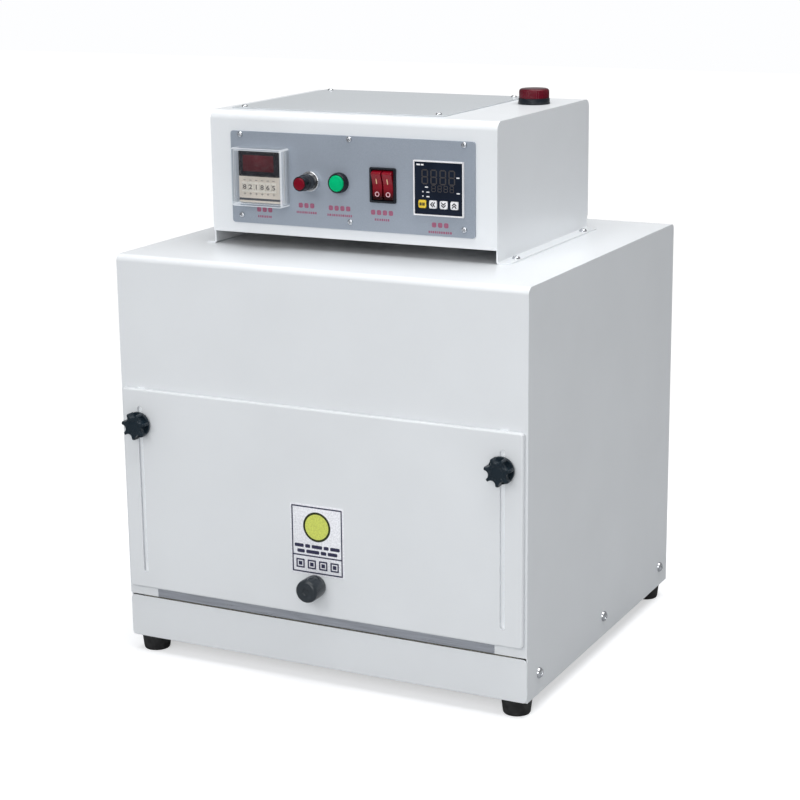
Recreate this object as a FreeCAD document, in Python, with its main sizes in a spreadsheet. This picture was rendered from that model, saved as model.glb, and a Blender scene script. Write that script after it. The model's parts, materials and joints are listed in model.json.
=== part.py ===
import FreeCAD, Part
import math
import os
import Sketcher
from FreeCAD import Placement, Rotation, Vector

# Bench-top reflow oven, in millimetres.
# +X is the viewer's right, +Y runs from the door to the back, +Z is up.
# The origin is on the bench, under the middle of the whole oven with its door knobs and handle.

os.makedirs("parts", exist_ok=True)
doc = FreeCAD.newDocument("ReflowOven")

DIMENSIONS = [
    # cabinet
    ("cab_width", 400, "cabinet, left to right"),
    ("cab_depth", 356, "cabinet, front to back"),
    ("cab_height", 360, "cabinet panels, without feet"),
    ("cab_shift", 10, "cabinet middle behind the origin, because the handle stands out in front"),
    ("skin", 1.5, "sheet thickness of the painted panels"),
    ("bend_radius", 6, "outer radius of the cabinet's bends"),
    ("foot_height", 15.5, "rubber foot"),
    ("foot_inset", 16, "foot centre from the cabinet's sides"),
    ("foot_top_radius", 14, "foot where it meets the cabinet"),
    ("foot_low_radius", 10.8, "foot where it meets the bench"),
    ("apron_height", 39.5, "lower front panel"),
    ("seam_gap", 1.5, "shadow gap above the lower front panel"),
    ("corner_radius", 4, "rounded corners of flat panels"),
    ("cover_width", 330, "rear service cover"),
    ("cover_height", 300, "rear service cover"),
    ("cover_low", 38.5, "rear service cover above the bench"),
    ("louvre_length", 90, "one cooling slot of the rear cover"),
    ("louvre_width", 5, "one cooling slot of the rear cover"),
    ("louvre_pitch", 13, "cooling slot spacing"),
    # chamber
    ("mouth_width", 340, "oven mouth, left to right"),
    ("mouth_height", 175, "oven mouth, low edge to high edge"),
    ("liner_depth", 268, "stainless chamber, front to back"),
    ("liner_wall", 1.2, "stainless sheet"),
    ("sill_height", 9, "steel sill under the chamber floor"),
    ("wool_side", 20, "insulation beside the chamber"),
    ("wool_back", 25, "insulation behind the chamber"),
    ("wool_top", 30, "insulation above the chamber"),
    ("wool_low", 24, "insulation under the chamber"),
    ("heater_radius", 4, "tubular heating element"),
    ("heater_reach", 120, "outer leg of an element from the middle"),
    ("heater_bend", 40, "bend radius of an element"),
    ("heater_margin", 14, "element from chamber floor and ceiling"),
    ("rail_height", 46, "rack rail above the sill"),
    ("rail_width", 12, "rack rail"),
    ("rack_wire", 2.5, "rack frame wire radius"),
    ("rack_rung", 1.25, "rack rung radius"),
    ("rack_half_width", 160, "rack frame wire from the middle"),
    ("rack_inset", 28, "rack behind the cabinet's front"),
    ("rack_depth", 208, "rack frame, front to back"),
    ("rack_bend", 12, "rack corner radius"),
    ("baffle_width", 200, "fan baffle"),
    ("baffle_height", 140, "fan baffle"),
    ("baffle_depth", 19, "fan baffle"),
    ("fan_radius", 58, "impeller blade tip"),
    ("fan_width", 11, "impeller blade width"),
    ("hub_radius", 12, "impeller hub"),
    ("shaft_radius", 4, "fan shaft"),
    ("motor_radius", 38, "fan motor"),
    ("motor_length", 50, "fan motor"),
    # door
    ("door_width", 395, "sliding door"),
    ("door_height", 189, "sliding door"),
    ("door_depth", 4, "folded edge of the door"),
    ("door_edge", 2, "rounded front edge of the door"),
    ("door_gap", 0.5, "door behind to the cabinet front"),
    ("slot_width", 4.6, "guide slot"),
    ("slot_length", 157.5, "guide slot, end to end"),
    ("slot_rise", 15.5, "low end of the guide slot above the door's low edge"),
    ("stud_spacing", 358, "guide studs, left to right"),
    ("stud_radius", 2, "guide stud"),
    ("stud_rise", 165.5, "guide studs above the mouth's low edge"),
    ("knob_radius", 12.5, "star knob"),
    ("knob_depth", 11, "star knob"),
    ("insert_radius", 4.45, "brass insert of a star knob"),
    ("handle_radius", 10.5, "door handle"),
    ("handle_length", 20, "door handle"),
    ("handle_rise", 28.5, "door handle above the door's low edge"),
    # control box
    ("box_width", 284, "control box, left to right"),
    ("box_depth", 212, "control box, front to back"),
    ("box_rise", 122, "control box above the cabinet"),
    ("box_lift", 12, "air gap under the control box front"),
    ("box_offset", -8, "control box middle from the cabinet middle"),
    ("box_setback", 86, "control box behind the cabinet front"),
    ("box_bend", 8, "outer radius of the control box bends"),
    ("flange_width", 11, "foot flange of a control box cheek"),
    ("lid_width", 214, "access lid"),
    ("lid_depth", 182, "access lid"),
    ("lid_offset", -31.5, "lid middle from the cabinet middle"),
    ("lid_setback", 18, "lid behind the control box front"),
    ("lid_thick", 1.2, "access lid"),
    ("lid_margin", 9, "lid screws from the lid's edges"),
    # instruments, placed from the instrument plate's middle
    ("plate_width", 242, "instrument plate"),
    ("plate_height", 83, "instrument plate"),
    ("plate_thick", 2, "instrument plate"),
    ("plate_offset", -7, "instrument plate middle from the cabinet middle"),
    ("plate_rise", 63, "instrument plate middle above the cabinet"),
    ("plate_screw_reach", 111, "outer plate screws from the plate middle"),
    ("plate_screw_rise", 36.5, "plate screws above and below the middle of their rows"),
    ("plate_screw_lift", 2, "middle of the plate screw rows above the plate middle"),
    ("window_width", 226, "opening behind the instrument plate"),
    ("window_height", 64, "opening behind the instrument plate"),
    ("module", 48, "square front of the timer and of the controller"),
    ("module_body", 44.6, "square body of the timer and of the controller"),
    ("timer_place", -86.8, "timer"),
    ("timer_lift", 2, "timer above the plate middle"),
    ("timer_proud", 9.5, "timer front from the plate"),
    ("timer_flange", 2.5, "timer flange from the plate"),
    ("timer_width", 41.6, "raised front of the timer"),
    ("timer_height", 46, "raised front of the timer"),
    ("timer_rim", 1.1, "timer front beside its display"),
    ("cover_proud", 15, "timer cover front from the plate"),
    ("cover_wall", 2, "timer cover"),
    ("wheel_radius", 8, "digit wheel"),
    ("wheel_width", 4.8, "digit wheel"),
    ("wheel_pitch", 6, "digit wheels"),
    ("wheel_drop", 9, "digit wheels below the timer's middle"),
    ("wheel_proud", 0.2, "digit wheel rim from the timer front"),
    ("wheel_wall", 0.8, "timer front wall over the digit wheels"),
    ("wheel_gate", 8.4, "opening over one digit wheel, low edge to high edge"),
    ("wheel_axle", 1.5, "digit wheel axle radius"),
    ("buzzer_place", -38.7, "buzzer silence button"),
    ("buzzer_radius", 6.9, "buzzer sleeve"),
    ("buzzer_proud", 19.5, "buzzer sleeve front from the plate"),
    ("buzzer_ring", 9, "buzzer ring nut"),
    ("start_place", -10, "start button"),
    ("start_radius", 9.2, "start button collar"),
    ("start_proud", 6.5, "start button collar front from the plate"),
    ("switch_place", 33.2, "heating switch"),
    ("switch_width", 25.5, "heating switch"),
    ("switch_height", 31, "heating switch"),
    ("rocker_width", 10.3, "one rocker"),
    ("rocker_radius", 13.5, "rocker end from its pivot"),
    ("rocker_throw", 18, "rocker travel in degrees"),
    ("rocker_face", 4.6, "rocker face from its pivot"),
    ("pivot_radius", 1.2, "rocker pivot"),
    ("meter_place", 87.4, "temperature controller"),
    ("meter_proud", 2.5, "controller front from the plate"),
    ("meter_rim", 1.3, "controller bezel rim"),
    ("key_width", 7.4, "controller key"),
    ("key_height", 7, "controller key"),
    ("key_pitch", 10.2, "controller keys"),
    ("key_drop", 13.8, "controller keys below the controller's middle"),
    ("beacon_radius", 14.7, "alarm beacon"),
    ("beacon_base", 5.5, "alarm beacon collar"),
    ("beacon_lens", 9, "alarm beacon lens"),
    ("beacon_place", 103.5, "alarm beacon from the cabinet middle"),
    ("beacon_setback", 152, "alarm beacon behind the control box front"),
    # clearances and fasteners
    ("free_fit", 0.1, "side clearance of pushed and slid parts"),
    ("run_fit", 0.05, "radial clearance of turning parts"),
    ("big_screw", 2.5, "shank radius of cabinet screws"),
    ("big_head", 4.9, "head radius of cabinet screws"),
    ("small_screw", 2, "shank radius of the screws that hold the control box down"),
    ("small_head", 3.7, "head radius of the screws that hold the control box down"),
    ("plate_screw", 1.5, "shank radius of instrument plate and lid screws"),
    ("plate_head", 2.8, "head radius of instrument plate and lid screws"),
]

sheet = doc.addObject("Spreadsheet::Sheet", "Dims")
for row, (alias, number, note) in enumerate(DIMENSIONS, start=1):
    sheet.set(f"A{row}", alias)
    sheet.set(f"B{row}", str(number))
    sheet.set(f"C{row}", note)
    sheet.setAlias(f"B{row}", alias)
doc.recompute()


class Size:
    """A length that knows its number now and the spreadsheet formula behind it."""

    def __init__(self, number, formula=None):
        self.number = float(number)
        self.formula = f"({number})" if formula is None else formula

    def joined(self, sign, other, number):
        return Size(number, f"({self.formula} {sign} {other.formula})")

    def __add__(self, other):
        other = sized(other)
        return self.joined("+", other, self.number + other.number)

    def __sub__(self, other):
        other = sized(other)
        return self.joined("-", other, self.number - other.number)

    def __mul__(self, other):
        other = sized(other)
        return self.joined("*", other, self.number * other.number)

    def __truediv__(self, other):
        other = sized(other)
        return self.joined("/", other, self.number / other.number)

    def __radd__(self, other):
        return sized(other) + self

    def __rsub__(self, other):
        return sized(other) - self

    def __rmul__(self, other):
        return sized(other) * self

    def __neg__(self):
        return Size(-self.number, f"(-1 * {self.formula})")


def sized(value):
    return value if isinstance(value, Size) else Size(value)


class Dimensions:
    """Every driving dimension of the sheet, as a Size."""

    def __getattr__(self, alias):
        return Size(sheet.get(alias), f"Dims.{alias}")


d = Dimensions()

# Places that follow from the driving dimensions.
SIDE = d.cab_width / 2
MIDDLE = sized(d.cab_shift)
FRONT = MIDDLE - d.cab_depth / 2
BACK = MIDDLE + d.cab_depth / 2
LOW = sized(d.foot_height)
TOP = LOW + d.cab_height
MOUTH_LOW = LOW + d.apron_height + d.seam_gap
MOUTH_HIGH = MOUTH_LOW + d.mouth_height
MOUTH_SIDE = d.mouth_width / 2
FLOOR = MOUTH_LOW + d.sill_height
CHAMBER_MID = (MOUTH_LOW + MOUTH_HIGH) / 2
LINER_BACK = FRONT + d.liner_depth
WOOL_BACK = LINER_BACK + d.wool_back
DOOR_BACK = FRONT - d.door_gap
DOOR_FRONT = DOOR_BACK - d.door_depth
DOOR_LOW = FLOOR
STUD_Z = MOUTH_LOW + d.stud_rise
STUD_X = d.stud_spacing / 2
BOX_LEFT = d.box_offset - d.box_width / 2
BOX_RIGHT = d.box_offset + d.box_width / 2
BOX_FRONT = FRONT + d.box_setback
BOX_BACK = BOX_FRONT + d.box_depth
BOX_TOP = TOP + d.box_rise
PLATE_FRONT = BOX_FRONT - d.plate_thick
PANEL_Z = TOP + d.plate_rise
ALONG = {
    "x": Rotation(Vector(0, 1, 0), 90),
    "y": Rotation(Vector(1, 0, 0), -90),
    "z": Rotation(),
}
subparts = []


def bind(item, **sizes):
    for name, value in sizes.items():
        item.setExpression(name, sized(value).formula)
    return item


def put(item, x, y, z, rotation=None):
    item.Placement = Placement(Vector(), rotation or Rotation())
    for axis, value in zip("xyz", (x, y, z)):
        item.setExpression(f".Placement.Base.{axis}", sized(value).formula)
    return item


def block(name, x, y, z):
    """A box between two values on each axis."""
    item = doc.addObject("Part::Box", name)
    bind(item, Length=x[1] - x[0], Width=y[1] - y[0], Height=z[1] - z[0])
    return put(item, x[0], y[0], z[0])


def spread(middle, width):
    """The two values half a width either side of a middle."""
    return sized(middle) - width / 2, sized(middle) + width / 2


def rod(name, radius, length, x, y, z, along="y"):
    item = doc.addObject("Part::Cylinder", name)
    bind(item, Radius=radius, Height=length)
    return put(item, x, y, z, ALONG[along])


def fuse(name, *parts):
    item = doc.addObject("Part::MultiFuse", name)
    item.Shapes = list(parts)
    return item


def cut(name, base, *tools):
    item = doc.addObject("Part::Cut", name)
    item.Base = base
    item.Tool = tools[0] if len(tools) == 1 else fuse(name + "_tools", *tools)
    return item


def subpart(item, label):
    item.Label = label
    subparts.append(item)
    return item


def new_body(label):
    return subpart(doc.addObject("PartDesign::Body", label + "_body"), label)


def sketch_on(body, role, offset=0):
    """A sketch on one of the body's own planes, moved along the plane's normal.
    XZ_Plane faces -Y, so an offset of -y puts the sketch at y."""
    sketch = body.newObject("Sketcher::SketchObject", body.Name + "_sketch")
    plane = next(p for p in body.Origin.OriginFeatures if p.Role == role)
    sketch.AttachmentSupport = [(plane, "")]
    sketch.MapMode = "FlatFace"
    sketch.setExpression(".AttachmentOffset.Base.z", sized(offset).formula)
    return sketch


def pin_point(sketch, geometry, position, x, y):
    """Fixes a point of the sketch by its distances from the origin."""
    for axis, value in (("X", sized(x)), ("Y", sized(y))):
        rule = Sketcher.Constraint("Distance" + axis, -1, 1, geometry, position, value.number)
        index = sketch.addConstraint(rule)
        sketch.setExpression(f"Constraints[{index}]", value.formula)


def pin_radius(sketch, geometry, radius):
    index = sketch.addConstraint(Sketcher.Constraint("Radius", geometry, sized(radius).number))
    sketch.setExpression(f"Constraints[{index}]", sized(radius).formula)


def polygon(sketch, points):
    corners = [Vector(sized(x).number, sized(y).number, 0) for x, y in points]
    first = sketch.GeometryCount
    count = len(points)
    for i in range(count):
        sketch.addGeometry(Part.LineSegment(corners[i], corners[(i + 1) % count]))
    for i in range(count):
        following = first + (i + 1) % count
        sketch.addConstraint(Sketcher.Constraint("Coincident", first + i, 2, following, 1))
    for i, (x, y) in enumerate(points):
        pin_point(sketch, first + i, 1, x, y)


def rectangle(sketch, across, up):
    polygon(sketch, [(across[0], up[0]), (across[1], up[0]), (across[1], up[1]), (across[0], up[1])])


def circle(sketch, x, y, radius):
    middle = Vector(sized(x).number, sized(y).number, 0)
    index = sketch.addGeometry(Part.Circle(middle, Vector(0, 0, 1), sized(radius).number))
    pin_point(sketch, index, 3, x, y)
    pin_radius(sketch, index, radius)


def upright_slot(sketch, x, low, high, radius):
    """A round-ended slot between two end centres, one above the other."""
    x, low, high, radius = sized(x), sized(low), sized(high), sized(radius)
    ends = []
    for height, start in ((low, math.pi), (high, 0)):
        ring = Part.Circle(Vector(x.number, height.number, 0), Vector(0, 0, 1), radius.number)
        ends.append(sketch.addGeometry(Part.ArcOfCircle(ring, start, start + math.pi)))
        pin_point(sketch, ends[-1], 3, x, height)
        pin_radius(sketch, ends[-1], radius)
    for turn, (low_end, high_end) in ((-1, (1, 2)), (1, (2, 1))):
        edge = x.number + turn * radius.number
        start, stop = Vector(edge, low.number, 0), Vector(edge, high.number, 0)
        line = sketch.addGeometry(Part.LineSegment(start, stop))
        sketch.addConstraint(Sketcher.Constraint("Tangent", ends[0], low_end, line, 1))
        sketch.addConstraint(Sketcher.Constraint("Tangent", ends[1], high_end, line, 2))


def pad(body, sketch, length, symmetric=False):
    feature = body.newObject("PartDesign::Pad", body.Name + "_pad")
    feature.Profile = sketch
    feature.SideType = "Symmetric" if symmetric else "One side"
    bind(feature, Length=length)
    doc.recompute()
    return feature


def pocket(body, sketch, length):
    """Cuts against the sketch's normal."""
    before = body.Shape.Volume
    feature = body.newObject("PartDesign::Pocket", body.Name + "_pocket")
    feature.Profile = sketch
    bind(feature, Length=length)
    doc.recompute()
    if body.Shape.Volume > before - 0.01:
        raise RuntimeError(f"{body.Label}: a pocket cuts nothing")
    return feature


def edges_along(shape, axis, *places):
    """Names of the straight edges that run along an axis through places given on the other two."""
    others = [i for i in range(3) if i != "xyz".index(axis)]
    found = []
    for number, edge in enumerate(shape.Edges, start=1):
        ends = [vertex.Point for vertex in edge.Vertexes]
        if len(ends) != 2:
            continue
        for place in places:
            wanted = [sized(value).number for value in place]
            if all(abs(p[k] - w) < 0.01 for p in ends for k, w in zip(others, wanted)):
                found.append(f"Edge{number}")
    if not found:
        raise RuntimeError("no edge found to round")
    return found


def round_edges(body, radius, axis, *places):
    base = body.Tip
    feature = body.newObject("PartDesign::Fillet", body.Name + "_fillet")
    feature.Base = (base, edges_along(base.Shape, axis, *places))
    bind(feature, Radius=radius)
    doc.recompute()


def round_rim(body, radius, y):
    """Rounds every edge that lies in the plane at a place along Y."""
    base = body.Tip
    level = sized(y).number
    flat = [f"Edge{i}" for i, edge in enumerate(base.Shape.Edges, start=1)
            if abs(edge.BoundBox.YMin - level) < 0.01 and abs(edge.BoundBox.YMax - level) < 0.01]
    feature = body.newObject("PartDesign::Fillet", body.Name + "_rim")
    feature.Base = (base, flat)
    bind(feature, Radius=radius)
    doc.recompute()


def ring_pattern(body, feature, role, count):
    """Repeats a feature around one of the body's origin axes."""
    pattern = body.newObject("PartDesign::PolarPattern", body.Name + "_ring")
    pattern.Originals = [feature]
    axis = next(p for p in body.Origin.OriginFeatures if p.Role == role)
    pattern.Axis = (axis, [""])
    pattern.Angle = 360
    pattern.Occurrences = count
    body.Tip = pattern
    doc.recompute()
    return pattern


def row_pattern(body, feature, role, length, count):
    pattern = body.newObject("PartDesign::LinearPattern", body.Name + "_row")
    pattern.Originals = [feature]
    axis = next(p for p in body.Origin.OriginFeatures if p.Role == role)
    pattern.Direction = (axis, [""])
    bind(pattern, Length=length)
    pattern.Occurrences = count
    body.Tip = pattern
    doc.recompute()
    return pattern


def both(value):
    return (-sized(value), sized(value))


# ---------------------------------------------------------------- fasteners

COVER_HIGH = d.cover_low + d.cover_height
COVER_SCREW_X = d.cover_width / 2 - 8
COVER_SCREW_Z = [d.cover_low + 8, d.cover_low + d.cover_height / 2, COVER_HIGH - 8]
SIDE_SCREW_Y = [FRONT + 27, MIDDLE + 3, BACK - 21]
SIDE_SCREW_Z = LOW + 19
FOOT_X = SIDE - d.foot_inset
FOOT_Y = [FRONT + d.foot_inset, BACK - d.foot_inset]
FOOT_HEAD_Z = sized(5.6)
FLANGE_SCREW_X = [BOX_LEFT - d.flange_width / 2 - 0.5, BOX_RIGHT + d.flange_width / 2 + 0.5]
FLANGE_SCREW_Y = [BOX_FRONT + 27, BOX_BACK - 27]
LID_X = spread(d.lid_offset, d.lid_width)
LID_Y = (BOX_FRONT + d.lid_setback, BOX_FRONT + d.lid_setback + d.lid_depth)
LID_SCREW_X = [LID_X[0] + d.lid_margin, LID_X[1] - d.lid_margin]
LID_SCREW_Y = [LID_Y[0] + d.lid_margin, LID_Y[1] - d.lid_margin]
PLATE_SCREW_X = [d.plate_offset - d.plate_screw_reach, d.plate_offset, d.plate_offset + d.plate_screw_reach]
PLATE_SCREW_MIDDLE = PANEL_Z + d.plate_screw_lift
PLATE_SCREW_Z = spread(PLATE_SCREW_MIDDLE, d.plate_screw_rise * 2)


def screw_master(name, shank, head, head_height, length):
    """A pan-head screw that points down, with its head's seat at the origin."""
    body = doc.addObject("PartDesign::Body", name)
    sketch = sketch_on(body, "XZ_Plane")
    crown = head * 0.62
    shoulder = head_height * 0.45
    polygon(sketch, [(0, -length), (shank, -length), (shank, 0), (head, 0), (head, shoulder),
                     (crown, head_height), (0, head_height)])
    turned = body.newObject("PartDesign::Revolution", name + "_turned")
    turned.Profile = sketch
    turned.ReferenceAxis = (sketch, ["V_Axis"])
    turned.Angle = 360
    doc.recompute()
    recess = sketch_on(body, "XY_Plane", head_height)
    long, short = head * 0.5, head * 0.12
    polygon(recess, [(long, -short), (long, short), (short, short), (short, long), (-short, long),
                     (-short, short), (-long, short), (-long, -short), (-short, -short),
                     (-short, -long), (short, -long), (short, -short)])
    pocket(body, recess, head_height * 0.6)
    return body


def screw_links(master, seats):
    """Links to one screw, each with its head's seat at a place and its head facing a direction."""
    links = []
    for i, (x, y, z, facing) in enumerate(seats):
        link = doc.addObject("App::Link", f"{master.Label}_{i}")
        link.LinkedObject = master
        links.append(put(link, x, y, z, Rotation(Vector(0, 0, 1), facing)))
    return links


def screw_group(label, links):
    group = doc.addObject("Part::Compound", label + "_group")
    group.Links = links
    return subpart(group, label)


big_screw = screw_master("big_screw", d.big_screw, d.big_head, sized(3), sized(9))
small_screw = screw_master("small_screw", d.small_screw, d.small_head, sized(2.4), sized(7))
plate_screw = screw_master("plate_screw", d.plate_screw, d.plate_head, sized(1.7), sized(6))

cabinet_seats = [(sign * SIDE, y, SIDE_SCREW_Z, Vector(sign, 0, 0)) for sign in (-1, 1) for y in SIDE_SCREW_Y]
cabinet_seats += [(sign * COVER_SCREW_X, BACK + d.skin, z, Vector(0, 1, 0))
                  for sign in (-1, 1) for z in COVER_SCREW_Z]
cabinet_seats += [(x, y, FOOT_HEAD_Z, Vector(0, 0, -1)) for x in both(FOOT_X) for y in FOOT_Y]
screw_group("cabinet_screws", screw_links(big_screw, cabinet_seats))

flange_seats = [(x, y, TOP + d.skin, Vector(0, 0, 1)) for x in FLANGE_SCREW_X for y in FLANGE_SCREW_Y]
plate_seats = [(x, PLATE_FRONT, z, Vector(0, -1, 0)) for x in PLATE_SCREW_X for z in PLATE_SCREW_Z]
plate_seats += [(x, y, BOX_TOP + d.lid_thick, Vector(0, 0, 1)) for x in LID_SCREW_X for y in LID_SCREW_Y]
box_links = screw_links(small_screw, flange_seats) + screw_links(plate_screw, plate_seats)
screw_group("control_box_screws", box_links)

BIG_HOLE = d.big_screw + d.free_fit
SMALL_HOLE = d.small_screw + d.free_fit
PLATE_HOLE = d.plate_screw + d.free_fit


# ---------------------------------------------------------------- cabinet

def bent_sheet(body, front, back, front_low, back_low, top):
    """The closed outline of a sheet that runs up the front, over the top and down the back."""
    sketch = sketch_on(body, "YZ_Plane")
    polygon(sketch, [(front, front_low), (front, top), (back, top), (back, back_low),
                     (back - d.skin, back_low), (back - d.skin, top - d.skin),
                     (front + d.skin, top - d.skin), (front + d.skin, front_low)])
    return sketch


def cabinet_wrap():
    body = new_body("cabinet_wrap")
    pad(body, bent_sheet(body, FRONT, BACK, MOUTH_LOW, LOW, TOP), d.cab_width, symmetric=True)
    round_edges(body, d.bend_radius, "x", (FRONT, TOP), (BACK, TOP))
    inside = TOP - d.skin
    round_edges(body, d.bend_radius - d.skin, "x", (FRONT + d.skin, inside), (BACK - d.skin, inside))
    openings = sketch_on(body, "XZ_Plane", -FRONT)
    rectangle(openings, both(MOUTH_SIDE), (MOUTH_LOW - 1, MOUTH_HIGH))
    for x in both(STUD_X):
        circle(openings, x, STUD_Z, d.stud_radius + d.free_fit)
    pocket(body, openings, d.skin * 2)
    service = sketch_on(body, "XZ_Plane", -(BACK - d.skin * 2))
    rectangle(service, both(d.cover_width / 2 - 16), (d.cover_low + 16, COVER_HIGH - 16))
    for x in both(COVER_SCREW_X):
        for z in COVER_SCREW_Z:
            circle(service, x, z, BIG_HOLE)
    pocket(body, service, d.skin * 3)
    top_holes = sketch_on(body, "XY_Plane", TOP)
    circle(top_holes, d.box_offset, MIDDLE + 40, 14)
    for x in FLANGE_SCREW_X:
        for y in FLANGE_SCREW_Y:
            circle(top_holes, x, y, SMALL_HOLE)
    pocket(body, top_holes, d.skin * 2)


def side_panel(label, sign):
    body = new_body(label)
    outer = SIDE if sign > 0 else -(SIDE - d.skin)
    sketch = sketch_on(body, "YZ_Plane", outer - d.skin)
    rectangle(sketch, (FRONT + d.skin, BACK - d.skin), (LOW, TOP - d.skin))
    for y in SIDE_SCREW_Y:
        circle(sketch, y, SIDE_SCREW_Z, BIG_HOLE)
    pad(body, sketch, d.skin)
    corners = [(FRONT + d.skin, TOP - d.skin), (BACK - d.skin, TOP - d.skin)]
    round_edges(body, d.bend_radius - d.skin, "x", *corners)


def base_pan():
    body = new_body("base_pan")
    reach = SIDE - d.skin
    inner = reach - d.skin
    lip = LOW + 36
    sketch = sketch_on(body, "XZ_Plane", -MIDDLE)
    polygon(sketch, [(-reach, LOW), (reach, LOW), (reach, lip), (inner, lip), (inner, LOW + d.skin),
                     (-inner, LOW + d.skin), (-inner, lip), (-reach, lip)])
    pad(body, sketch, d.cab_depth - d.skin * 2, symmetric=True)
    feet_holes = sketch_on(body, "XY_Plane", LOW + d.skin)
    for x in both(FOOT_X):
        for y in FOOT_Y:
            circle(feet_holes, x, y, BIG_HOLE)
    pocket(body, feet_holes, d.skin * 2)
    side_holes = sketch_on(body, "YZ_Plane", reach)
    for y in SIDE_SCREW_Y:
        circle(side_holes, y, SIDE_SCREW_Z, BIG_HOLE)
    pocket(body, side_holes, reach * 2)


def lower_front_panel():
    body = new_body("lower_front_panel")
    high = LOW + d.apron_height
    sketch = sketch_on(body, "XZ_Plane", -(FRONT + d.skin))
    rectangle(sketch, both(SIDE), (LOW, high))
    pad(body, sketch, d.skin)
    corners = [(x, z) for x in both(SIDE) for z in (LOW, high)]
    round_edges(body, d.corner_radius, "y", *corners)


def rear_cover():
    body = new_body("rear_cover")
    sketch = sketch_on(body, "XZ_Plane", -(BACK + d.skin))
    rectangle(sketch, both(d.cover_width / 2), (d.cover_low, COVER_HIGH))
    for x in both(COVER_SCREW_X):
        for z in COVER_SCREW_Z:
            circle(sketch, x, z, BIG_HOLE)
    rectangle(sketch, spread(INLET_X, INLET_WIDTH), spread(INLET_Z, INLET_HEIGHT))
    pad(body, sketch, d.skin)
    plate_low = [(x, z) for x in both(d.cover_width / 2) for z in (d.cover_low, COVER_HIGH)]
    round_edges(body, d.corner_radius, "y", *plate_low)
    slots = sketch_on(body, "XZ_Plane", -BACK)
    for middle in both(d.cover_width / 4 - 6):
        low = COVER_HIGH - 150
        rectangle(slots, spread(middle, d.louvre_length), (low, low + d.louvre_width))
    first = pocket(body, slots, d.skin * 2)
    row_pattern(body, first, "Z_Axis", d.louvre_pitch * 8, 9)


INLET_X = sized(105)
INLET_Z = d.cover_low + 60
INLET_WIDTH = sized(28)
INLET_HEIGHT = sized(21)


def mains_inlet():
    outside = BACK + d.skin
    inside = BACK - 18
    gap = d.free_fit * 2
    flange = block("inlet_flange", spread(INLET_X, 50), (outside, outside + 3), spread(INLET_Z, 29))
    shroud = block("inlet_shroud", spread(INLET_X, INLET_WIDTH - gap), (inside, outside + 1),
                   spread(INLET_Z, INLET_HEIGHT - gap))
    hollow = block("inlet_hollow", spread(INLET_X, 24), (inside + 3, outside + 4), spread(INLET_Z, 16))
    pins = [block(f"inlet_pin_{i}", spread(INLET_X + 7 * side, 2), (inside + 2, outside),
                  spread(INLET_Z + drop, 4))
            for i, (side, drop) in enumerate(((-1, -2), (0, 2), (1, -2)))]
    shell = cut("inlet_shell", fuse("inlet_outer", flange, shroud), hollow)
    subpart(fuse("mains_inlet_solid", shell, *pins), "mains_inlet")


def feet():
    cups = []
    for i, (x, y) in enumerate([(x, y) for x in both(FOOT_X) for y in FOOT_Y]):
        cup = doc.addObject("Part::Cone", f"foot_cone_{i}")
        bind(cup, Radius1=d.foot_low_radius, Radius2=d.foot_top_radius, Height=d.foot_height)
        put(cup, x, y, 0)
        well = rod(f"foot_well_{i}", d.big_head + 0.6, FOOT_HEAD_Z, x, y, 0, "z")
        hole = rod(f"foot_hole_{i}", BIG_HOLE, d.foot_height, x, y, 0, "z")
        cups.append(cut(f"foot_{i}", cup, well, hole))
    subpart(fuse("feet_group", *cups), "feet")


# ---------------------------------------------------------------- chamber

HEATER_LOW = FLOOR + d.heater_margin
HEATER_HIGH = MOUTH_HIGH - d.liner_wall - d.heater_margin
HEATER_END = WOOL_BACK + 6
HEATER_HOLE = d.heater_radius + 0.4
PROBE_X = sized(145)
PROBE_Z = CHAMBER_MID + 12
SHAFT_HOLE = d.shaft_radius + 3


def liner_holes(sketch):
    circle(sketch, 0, CHAMBER_MID, SHAFT_HOLE)
    circle(sketch, PROBE_X, PROBE_Z, 1.8)
    for x in both(d.heater_reach):
        for z in (HEATER_LOW, HEATER_HIGH):
            circle(sketch, x, z, HEATER_HOLE)


def chamber_liner():
    body = new_body("chamber_liner")
    outer = sketch_on(body, "XZ_Plane", -LINER_BACK)
    rectangle(outer, both(MOUTH_SIDE), (MOUTH_LOW, MOUTH_HIGH))
    pad(body, outer, d.liner_depth)
    inner_side = MOUTH_SIDE - d.liner_wall
    cavity = sketch_on(body, "XZ_Plane", -FRONT)
    rectangle(cavity, both(inner_side), (FLOOR, MOUTH_HIGH - d.liner_wall))
    pocket(body, cavity, d.liner_depth - d.liner_wall)
    under = sketch_on(body, "XZ_Plane", -(FRONT + d.liner_wall))
    rectangle(under, both(inner_side), (MOUTH_LOW - 1, FLOOR - d.liner_wall))
    pocket(body, under, d.liner_depth)
    back_holes = sketch_on(body, "XZ_Plane", -(LINER_BACK - d.liner_wall * 2))
    liner_holes(back_holes)
    pocket(body, back_holes, d.liner_wall * 3)


def chamber_insulation():
    wool = block("wool_outer", both(MOUTH_SIDE + d.wool_side), (FRONT + 8, WOOL_BACK),
                 (MOUTH_LOW - d.wool_low, MOUTH_HIGH + d.wool_top))
    core = block("wool_core", both(MOUTH_SIDE), (FRONT, LINER_BACK), (MOUTH_LOW, MOUTH_HIGH))
    holes = [rod("wool_shaft_hole", SHAFT_HOLE, d.liner_depth, 0, LINER_BACK - 10, CHAMBER_MID)]
    holes.append(rod("wool_probe_hole", 1.8, d.liner_depth, PROBE_X, LINER_BACK - 10, PROBE_Z))
    for i, x in enumerate(both(d.heater_reach)):
        for k, z in enumerate((HEATER_LOW, HEATER_HIGH)):
            holes.append(rod(f"wool_heater_hole_{i}{k}", HEATER_HOLE, d.liner_depth, x, LINER_BACK - 10, z))
    subpart(cut("chamber_insulation_solid", wool, core, *holes), "chamber_insulation")


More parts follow.
